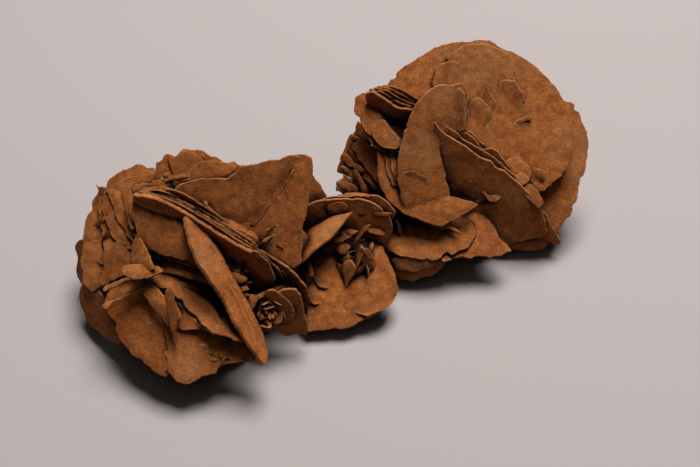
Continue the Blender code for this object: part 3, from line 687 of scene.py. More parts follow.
eastCrest = {
    "seed": 200,
    "blades": {
        "heartEast2": ((50, 22, 20), -110, 60, 9, (15, 0.8)),
        "eastLow1": ((30, 38, 14), 100, 118, 3, (18, 0.9)),
        "eastFoot1": ((40, 24, 6), -90, 168, 5, (19.8, 0.9)),
        "eastFoot2": ((54, 28, 6), -40, 160, 5, (15.3, 0.9)),
        "eastFoot3": ((24, 25, 8), -120, 150, 4, (15.3, 0.9)),
        "eastUnder": ((52, 20, 6), -85, 140, 3, (12.6, 0.9)),
        "eastCrest": ((47, 17, 25), -95, 72, 2.3, ((-19.5, 13), (-16, 0.5), (-7.5, -11), (0.5, -17),
            (6.5, -20), (11, -19.5), (12.5, -18), (15, -17), (17.5, -16), (20, -15.5), (22, -14.5),
            (22.5, -13), (22, -10), (21, -7), (19.5, -4), (18, -1.5), (16, 1), (13.5, 3.5), (11, 6),
            (8.5, 8), (5.5, 10.5), (3, 11.5), (0.5, 14), (-2.5, 15), (-5, 16.5), (-7.5, 18.5),
            (-10, 20), (-12.5, 21.5), (-15, 23), (-17.5, 25), (-19.5, 27.5))),
        "eastCrestBack": ((44, 20.4, 29.9), -95, 72, 1.3, ((-17, 10), (-12.5, -5.5), (2, -16.5),
            (19, -13), (21.5, -7.5), (20, -4.5), (17.5, -2), (15, 0.5), (12.5, 2.5), (9.5, 5), (7, 7.5),
            (4.5, 9.5), (2, 11), (-1, 12.5), (-3.5, 14), (-6, 15.5), (-8, 17.5), (-10, 18.5),
            (-12, 19.5), (-14.5, 21.5))),
        "eastCrestThird": ((44, 24.7, 38.1), -95, 72, 1.3, ((-10, 2.5), (-2.5, -4.5), (8, -10),
            (11, -5), (9.5, -2.5), (8, -0.5), (6.5, 1.5), (4.5, 2.5), (2.5, 2.5), (0, 4), (-2, 6),
            (-4, 7.5), (-6, 8.5), (-7.5, 9.5), (-8.5, 10.5), (-10.5, 10))),
        "eastCrestFourth": ((41, 27.7, 42.1), -95, 72, 1.2, ((-2.5, -1.5), (1.5, -5), (5, -4.5),
            (5.5, -2), (3.5, -0.5), (1.5, 1.5), (0, 3), (-2, 3.5), (-3.5, 5), (-4.5, 4.5))),
        "bowl": ((21, 18, 33.9), -75, 36, 2, ((-11.5, 14), (-10.5, 12), (-10, 10), (-10.5, 7.5),
            (-11, 5), (-11.5, 2.5), (-11.5, -0.5), (-11, -3.5), (-10.5, -5.5), (-9.5, -7.5),
            (-7.5, -9.5), (-6, -11.5), (-3.5, -13.5), (-1, -15), (1.5, -16.5), (4, -18), (6.5, -19),
            (8.5, -18.5), (10.5, -17), (11.5, -12.5), (11.5, -7), (11.5, 0), (10.5, 7), (6, 14.5),
            (1.5, 18), (-3, 18), (-8.5, 16.5))),
        "thumb": ((27, 22.1, 42.9), -72, 55, 1.8, ((1.5, 19), (-1.5, 17), (-4, 14), (-6, 11), (-8, 7.5),
            (-9.5, 4), (-11, 1), (-12, -2), (-12.5, -5), (-13, -8.5), (-13, -12.5), (-12.5, -17),
            (-9.5, -20), (-3.5, -22), (2, -23), (4, -21), (4.5, -15.5), (4, -10), (3.5, -4.5),
            (3.5, 0.5), (5, 4), (8, 4), (12.5, 3.5), (14.5, 5.5), (15.5, 9), (15.5, 11.5), (16, 14.5),
            (16, 16.5), (15.5, 18.5), (14.5, 20), (12.5, 20), (10.5, 20), (9, 20.5), (7.5, 21), (6, 21),
            (4.5, 20.5))),
        "thumbLayer": ((23, 13.7, 32.1), -83, 72, 0.7, ((-3.5, -6.5), (3.5, -8.5), (7, -5), (6, -1),
            (4.5, 1), (3.5, 3.5), (2, 5.5), (0.5, 6), (-1, 7.5), (-3, 7.5), (-5, 6.5), (-6.5, 4))),
        "thumbSide": ((37, 31.6, 52.3), -97, 56, 0.7, ((-2.5, -1), (0, -7.5), (2.5, -6.5), (2.5, -3.5),
            (2, 0), (1.5, 3.5), (1, 6), (-0.5, 7.5), (-2, 6.5))),
        "bowlLayer": ((14, 20, 38.1), -75, 36, 0.9, ((-2, 7.5), (-2, 5), (-2, 2.5), (-2, -0.5),
            (-2, -3), (-1.5, -6), (-1, -8), (2, -7.5), (3, -1), (3, 5.5))),
        "bowlInner": ((16, 20, 39), -75, 36, 0.9, ((-2, 6), (-2, 3.5), (-2, 0.5), (-2.5, -2.5),
            (-2, -5), (-2, -6.5), (0.5, -5.5), (2, 0.5), (1, 5.5))),
        "bowlTooth": ((36, 10.1, 25.9), -75, 36, 1.4, ((-6.5, 1), (-3.5, -3.5), (-0.5, -3.5), (2, -2.5),
            (4, -2), (6.5, -1), (8.5, 0), (4, 2.5), (-2.5, 5))),
        "bowlLip": ((29, 7.8, 22.3), -82, 32, 1.1, ((-7.5, 2), (-5, 0), (-3, -1.5), (-0.5, -2.5),
            (2, -3.5), (4, -3.5), (6, -4.5), (8, -5.5), (9.5, -6.5), (8, -4.5), (6, -2.5), (4.5, 0.5),
            (-1, 4.5))),
        "shelf": ((27, 7, 16.9), -92, 20, 1.5, ((-18, -4), (-16, -5), (-14.5, -6.5), (-12.5, -7.5),
            (-10.5, -8.5), (-8, -9), (-5.5, -9.5), (-2.5, -10), (1, -10), (3.5, -9.5), (5, -8.5),
            (6.5, -7), (8.5, -8), (10.5, -6.5), (12.5, -6), (14, -5), (15, -3), (16.5, 0.5), (14.5, 5),
            (4, 9.5), (-8, 7.5), (-15.5, 1.5))),
        "shelfEast": ((42, 6, 15.1), -85, 24, 1.6, ((-10.5, -7.5), (-8.5, -7), (-6, -6.5), (-3, -6.5),
            (-0.5, -7.5), (2.5, -7), (5, -7.5), (7, -7), (9.5, -7), (11.5, -6), (13.5, -5.5), (12, -3),
            (10, -0.5), (8.5, 3.5), (5.5, 8), (-2, 10), (-10.5, 2))),
        "shelfChip": ((33, -1, 13), -92, 20, 0.9, ((-0.5, -1.5), (1, -1), (2, -0.5), (1, 0.5), (0, 1.5),
            (-1, 0.5), (-1.5, -1))),
        "greyFoot": ((22, -1.2, 9.1), -95, 62, 1.6, ((-11, 4), (-10.5, 1.5), (-10, -0.5), (-8.5, -2),
            (-7.5, -3.5), (-6, -4.5), (-4.5, -5.5), (-2.5, -5.5), (0, -6), (2, -5), (4, -4), (6, -3.5),
            (8, -2), (9.5, -0.5), (11, 1.5), (11.5, 4), (9, 5), (-5, 5), (-9, 4.5))),
        "greyFootInner": ((21, -2.2, 11.1), -95, 62, 0.8, ((-7, 1.5), (-6.5, 0.5), (-5, -2),
            (-2.5, -2.5), (0.5, -3), (3.5, -2), (6, -1), (8, 0.5), (8.5, 2), (1.5, 3), (-4.5, 2.5))),
        "tail": ((64, 13.4, 13.9), -95, 72, 1.2, ((-7, 7.5), (-8.5, -1), (-2, -6.5), (3, -6),
            (6.5, -6.5), (8, -7.5), (10, -7.5), (10.5, -6), (9, -3.5), (8, -1.5), (6.5, 0.5),
            (5.5, 2.5), (4, 5), (2, 7))),
        "tailUnder": ((63, 12.2, 5.9), -96, 66, 1.2, ((-6.5, -2.5), (-4.5, -3.5), (-2, -3.5),
            (0.5, -3.5), (3, -3), (5, -2.5), (6.5, -1), (7.5, 1), (6.5, 3), (0.5, 3), (-5.5, 2))),
        "shell": ((58, 22.8, 31.3), -80, 37, 1.2, ((-3, -2), (0, -5), (2, -5), (3.5, -3.5), (4.5, -1.5),
            (4.5, 0.5), (3.5, 2.5), (2, 3.5), (1, 5), (-1.5, 5), (-3.5, 4.5), (-5, 3.5))),
        "shellInner": ((58.9, 19.2, 30.6), -74, 34, 0.8, ((-2.5, -1), (-1, -2), (1.5, -1.5), (3, -0.5),
            (2.5, 1), (1, 2.5), (-1, 2.5), (-2.5, 1.5))),
        "shellSmall": ((63, 15.9, 26.1), -80, 42, 1.2, ((-3.5, 2), (-0.5, -2.5), (1.5, -4.5), (3.5, -3),
            (3, -0.5), (2, 2), (1, 3), (0, 4), (-2, 5))),
        "shellTiny": ((65, 19, 27), -84, 40, 0.7, ((-2, 0), (-0.5, -1), (1.5, -1.5), (3, -0.5),
            (1.5, 1), (0, 1.5), (-1.5, 2))),
        "crestStub": ((49, 15.2, 25.7), -80, 40, 0.9, ((-1.5, -0.5), (0.5, -1.5), (2, -1), (3.5, 0.5),
            (1, 1), (-1, 1.5), (-3, 3))),
        "edgeBlade": ((17.5, 6.4, 18.8), -40, 70, 1, ((-1, 1.5), (-1, -1), (0, -3.5), (1, -4),
            (1, -1.5), (1, 1), (0.5, 3.5), (-0.5, 5.5))),
    },
    "crumbs": (((49, 11, 18), 7, 26), ((28, 17, 28), 8, 10), ((59, 17, 28), 7, 6), ((60, 10, 8), 14, 10),),
    "chips": (
        ((47.3, 11.5, 14.9), -134, 29, 1.8, 0.34), ((47.1, 11.8, 14), -130, 32, 1.5, 0.43),
        ((51.5, 11.9, 15.4), -139, 55, 1.3, 0.54), ((51.3, 10.8, 14), -49, 30, 1.9, 0.55),
        ((49, 11.3, 14.3), -109, 37, 1.4, 0.39), ((46.3, 11.1, 13.8), -63, 42, 2, 0.52),
        ((46.4, 11.8, 14.8), -132, 41, 1.2, 0.38), ((48.7, 11.8, 15.5), -91, 29, 1.1, 0.37),
        ((46.7, 12.9, 17.3), -26, 36, 1.7, 0.52), ((51.9, 13.4, 20.6), -43, 46, 1.8, 0.35),
        ((48.5, 10.8, 13.5), -132, 54, 1.8, 0.41), ((50.3, 12.7, 20.3), -59, 28, 1.6, 0.49),
        ((49.6, 11.9, 15.7), -112, 32, 1.7, 0.35),
    ),
}
makePiece("eastCrest", eastCrest)

saddle = {
    "seed": 300,
    "blades": {
        "neckLow": ((-24, -2, 12), 40, 120, 3, (14.2, 0.9)),
        "under3": ((-30, -20, 13), -60, 115, 3, (14, 0.9)),
        "heartMiddle": ((-4, 6, 9), -90, 60, 9, (16.2, 0.6)),
        "neckBack1": ((2, 14, 16), 85, 80, 3, (17, 0.9)),
        "neckBack2": ((-12, 12, 14), 110, 95, 3, (14, 0.9)),
        "neckBack3": ((14, 14, 12), 75, 110, 3, (14, 0.9)),
        "neckFoot": ((-4, 6, 4), -90, 172, 5, (16.1, 0.8)),
        "westStackTop": ((5, 28, 32), -138, 52, 1.2, ((-9.5, 9.5), (-9.5, 7), (-9, 5), (-9.5, 2),
            (-9, 0), (-7.5, -1.5), (-5, -3), (-2.5, -4), (-0.5, -5.5), (1.5, -6.5), (4, -6.5),
            (6, -6.5), (8, -7), (10.5, -6.5), (12.5, -5), (6.5, 2), (1.5, 4.5), (-3, 7.5))),
        "westStackCap": ((6, 26, 34), -134, 50, 0.9, ((-7.5, 0), (-5, -0.5), (-3.5, -2), (-1, -2.5),
            (1, -3.5), (4, -4), (6.5, -5), (9, -5.5), (8, -1.5), (3, 3.5), (-3, 5), (-7, 3.5))),
        "westStackSecond": ((1.8, 29.9, 27.2), -138, 52, 1, ((-7, 8), (-7.5, 5), (-7, 3), (-6.5, 0.5),
            (-6.5, -2), (-4, -1.5), (-2, -2.5), (-0.5, -3.5), (1.5, -4), (3.5, -4.5), (6, -4), (8, -5),
            (11, -4.5), (7, 0), (0, 4))),
        "westStackThird": ((0.4, 31.3, 23.6), -138, 52, 1, ((-6, 5), (-6, 2.5), (-5.5, 0), (-5, -3),
            (-4.5, -4.5), (-2, -3.5), (0.5, -3), (3, -2.5), (5.5, -3), (9.5, -2), (5, 1.5), (-2.5, 4))),
        "westStackMiddle": ((2.9, 21.9, 24.1), -128, 45, 1.3, ((-6.5, 0.5), (-7.5, -1), (-8.5, -2.5),
            (-8, -3.5), (-7, -5), (-4.5, -4.5), (-1, -3.5), (3.5, -2), (8.5, 0.5), (9, 3.5), (4, 3.5),
            (-1.5, 2))),
        "westStackLow": ((3, 23, 21.9), -115, 42, 1.1, ((-5.5, 0), (-6.5, -2), (-5.5, -3.5),
            (-2.5, -3.5), (1.5, -2.5), (5.5, -1.5), (8, 0), (6, 2), (0.5, 2), (-3, 1.5))),
        "westStackChip": ((3.4, 22.2, 27.7), -150, 60, 0.9, ((-1.5, -1), (1.5, -1.5), (4, -2.5),
            (6, -1), (4, 0.5), (1, 1), (-2, 1.5), (-4.5, 1.5), (-5, -0.5))),
        "arch": ((-2, 3.1, 20), -92, 72, 1.8, ((-13.5, -11), (-5, -16), (5.5, -14.5), (11, -10.5),
            (15, -3), (16.5, 3), (16, 6.5), (15, 9), (13, 11), (11, 13), (9, 14), (6, 15), (3, 15),
            (-1, 15), (-5, 14.5), (-8.5, 14), (-11.5, 13), (-13.5, 10), (-14, 5))),
        "archBack": ((1, 7.1, 27), -92, 72, 1.3, ((-14, -3), (-8, -6.5), (9.5, -6), (14.5, 0.5),
            (13, 3.5), (10.5, 6), (7.5, 7.5), (4.5, 7.5), (1, 7.5), (-3, 7), (-6, 7), (-10, 6),
            (-13.5, 4.5), (-16, 3))),
        "archLayer": ((-4, 5.3, 31.9), -92, 68, 0.8, ((-3.5, -2.5), (-1, -3), (2.5, -2), (3.5, 0),
            (2.5, 1.5), (1, 2), (-1, 2), (-3, 1), (-4, 0))),
        "archChip": ((11, 4.5, 29.7), -90, 60, 0.8, ((-1.5, -1), (1, -1), (3, 0), (0.5, 0.5), (-2, 0.5),
            (-3.5, 0))),
        "archChipWest": ((4, 4.8, 30.1), -85, 55, 0.7, ((-0.5, -1), (1.5, -1), (1.5, 0), (0, 0.5),
            (-1.5, -0.5))),
        "lowDisc": ((-2, -11.1, 12.2), -90, 27, 2.2, ((-14.5, 1), (-15.5, -6), (-13, -16.5),
            (-10, -16.5), (-7.5, -16.5), (-4.5, -16), (-1.5, -16), (1.5, -15.5), (4, -14.5), (6.5, -13),
            (9, -12), (11.5, -10.5), (14, -8.5), (15.5, -7.5), (17, -5.5), (18, -4), (18.5, -2),
            (18, 0), (17.5, 2), (16.5, 5), (14.5, 9.5), (12.5, 13), (7, 15), (0.5, 15.5), (-6.5, 15),
            (-12.5, 12))),
        "lowDiscSplit": ((8, -17, 9.2), -149, 7, 0.9, ((-2, -7.5), (0.5, -7), (2, -6), (4, -4.5),
            (4, -2.5), (4.5, 0), (4.5, 2), (4, 4.5), (2.5, 7.5), (-1, 7), (-3.5, 1.5), (-3.5, -4))),
        "lowDiscScale": ((-9.1, -10, 12.7), 8, 16, 0.8, ((-0.5, 3.5), (-2.5, 3), (-3.5, 1.5),
            (-4, -0.5), (-2.5, -3.5), (1, -4.5), (3.5, -1.5), (2.5, 2))),
        "lowDiscChip": ((-12, -17, 10), 49, 20, 0.7, ((1.5, 1.5), (0, 2), (-1.5, 1.5), (-2, -0.5),
            (0, -2.5), (2, -2), (2.5, 0))),
        "leaf": ((-10, -2, 28), -161, 23, 1.5, ((-2, 13), (-2.5, 11.5), (-3, 10), (-4, 7.5),
            (-4.5, 5.5), (-4.5, 3), (-4.5, 0.5), (-4.5, -2), (-3.5, -5), (0.5, -8), (6.5, -10),
            (6, -7.5), (5, -5), (4.5, -2.5), (4, 0), (3.5, 2.5), (2, 5.5), (1, 7.5), (-0.5, 10))),
        "leafUnder": ((-10.9, -2.9, 23.9), -128, 38, 1.1, ((2, 6.5), (-1.5, 1), (-4.5, -6.5),
            (-1.5, -9), (-1, -7), (0, -4.5), (1.5, -2), (2.5, 1), (4, 3), (5, 5.5), (5, 7.5))),
        "leafThird": ((-9, -2, 20.9), -125, 36, 1, ((2, 5.5), (-2.5, 0), (-5.5, -6), (-3, -8), (-1, -5),
            (0.5, -2.5), (2, 0), (3.5, 2), (5, 3.5), (6.5, 5.5), (7.5, 7.5))),
        "roseLens": ((0, 0.9, 25.1), -85, 25, 1.6, ((-2.5, -1), (-0.5, -1.5), (1.5, -1), (3, 0),
            (1.5, 0.5), (-0.5, 1), (-2.5, 0.5), (-4, 0))),
        "roseStick": ((2.6, -1.3, 25.3), -140, 60, 1.6, ((1, 5.5), (0, 3.5), (-0.5, 0.5), (-1, -2.5),
            (-1.5, -5.5), (-1.5, -7.5), (0, -5), (0.5, -2.5), (1, 0.5), (1.5, 3), (2.5, 5), (2.5, 7))),
        "roseLensEast": ((9, 0.2, 23.7), -75, 30, 1.6, ((-2.5, 0.5), (-1, -0.5), (1.5, -1.5), (3, -1.5),
            (2.5, 0), (1, 1.5), (-1, 2), (-3, 2))),
        "roseBlade": ((5, -7, 18), -70, 55, 1.1, ((-4, -3.5), (-2.5, -3.5), (-0.5, -3), (1, -3.5),
            (3, -2.5), (3.5, -1), (3.5, 1.5), (2.5, 3.5), (1, 4), (-1, 2.5), (-3, 1), (-4, -1.5),
            (-5.5, -3.5))),
        "roseTooth": ((-1, -10, 17), -120, 55, 1.1, ((-2.5, 2.5), (-2, -0.5), (-0.5, -2.5), (1.5, -5.5),
            (2, -3), (2.5, -1), (2.5, 2.5), (0, 4.5))),
        "roseLeaf": ((2.9, -7, 21), -160, 60, 0.9, ((-2.5, 3.5), (-2.5, 0.5), (-2, -2), (-0.5, -4),
            (2.5, -4.5), (2.5, -1.5), (1.5, 1), (0, 3.5))),
        "roseLeafEast": ((6, -7.1, 22), -60, 65, 0.9, ((-1, 2), (0, -0.5), (1, -2.5), (2.5, -3.5),
            (2, -1), (1.5, 1.5), (0, 3), (-1.5, 4))),
        "roseChip": ((-3, -2.9, 21.9), -110, 40, 0.9, ((-1, -1.5), (0.5, -2.5), (2.5, -1), (3, 1),
            (1, 1.5), (-1, 1), (-2, 0))),
        "roseChipLow": ((-2, -5, 19), -150, 50, 0.9, ((-2, -2), (1, -2), (3, -1), (2.5, 1.5), (0.5, 2),
            (-2, 1.5), (-3.5, -0.5))),
        "roseChipTop": ((-4, -2, 24), -60, 50, 0.8, ((-1, -0.5), (1, -1), (2.5, -0.5), (1, 1),
            (-0.5, 1.5), (-2.5, 1))),
        "wingBehind": ((-12.1, 12.2, 28.9), -65, 60, 1.3, ((-5, 1.5), (-3, -8.5), (2, -7), (4.5, -1.5),
            (4, 1), (3.5, 3), (3, 5), (2, 6.5), (1.5, 8.5), (0.5, 10))),
    },
    "crumbs": (((-2, -2, 19), 9, 40), ((0, 24, 24), 8, 18), ((5, 20, 10), 16, 12),),
    "chips": (
        ((3.8, 21.3, 25), -130, 53, 2.9, 0.33), ((4.1, 28.5, 32.8), -141, 56, 2.6, 0.34),
        ((-0.6, 24.9, 24.9), -134, 53, 2.7, 0.31), ((-1.2, 22.9, 22), -136, 52, 4.2, 0.43),
        ((3.1, 26.2, 28.4), -128, 51, 2.6, 0.31), ((1.6, 32.3, 33.8), -143, 55, 3.3, 0.3),
        ((2.4, 34.2, 35.3), -134, 50, 3.6, 0.36), ((1.4, 27.8, 27.9), -140, 55, 3.3, 0.44),
        ((4.4, 26.8, 29.6), -126, 50, 3.7, 0.34), ((2.9, 21.7, 24.5), -141, 53, 2.9, 0.36),
        ((-0.3, 23.2, 23), -144, 47, 2.9, 0.31), ((-0.9, 24.5, 23.3), -133, 56, 2.8, 0.33),
        ((2.8, 26, 29.8), -135, 55, 3.8, 0.34), ((0.8, 22.1, 23.6), -139, 56, 3.8, 0.38),
        ((-0.7, 23.3, 23), -140, 46, 3, 0.31), ((-0.6, 30.4, 29.3), -129, 48, 3.1, 0.34),
        ((1.3, 34.6, 33.9), -130, 47, 2.7, 0.39), ((-1, 27.4, 26.7), -126, 53, 3, 0.37),
        ((-0.5, 29.5, 29.6), -144, 53, 4, 0.44), ((2.6, 33.5, 35.9), -125, 55, 3.2, 0.42),
        ((1.5, 24.4, 26.1), -139, 57, 3.4, 0.32), ((4.1, 25.8, 28.6), -140, 57, 4.2, 0.44),
        ((6.5, 21, 27.8), -138, 56, 3.2, 0.28), ((-2, 23.1, 22.5), -126, 51, 3.7, 0.42),
        ((6.8, -1.7, 19.8), 175, 46, 2.9, 0.76), ((3.9, -8.9, 16.7), -58, 73, 3, 0.55),
        ((-0.4, -3.6, 19.1), 107, 54, 4, 0.77), ((2.2, -3.1, 18.4), -152, 68, 3.3, 0.58),
        ((2.7, -9, 15.8), 131, 85, 3.2, 0.62), ((6.6, -1, 18.8), 158, 73, 2.9, 0.7),
        ((-0.1, -5.8, 18), -138, 47, 2.8, 0.61), ((5.5, -5.7, 17), -115, 83, 3.4, 0.57),
        ((-0.7, -4.3, 18.7), 146, 58, 3.1, 0.6), ((-2.3, -9, 16.2), -138, 65, 3.4, 0.58),
        ((5.5, -9.1, 16), -165, 81, 3.1, 0.78), ((-1.4, -5.3, 17.4), -165, 47, 4.2, 0.75),
        ((2.7, -5.4, 18), 69, 55, 3.5, 0.48),
    ),
}
makePiece("saddle", saddle)

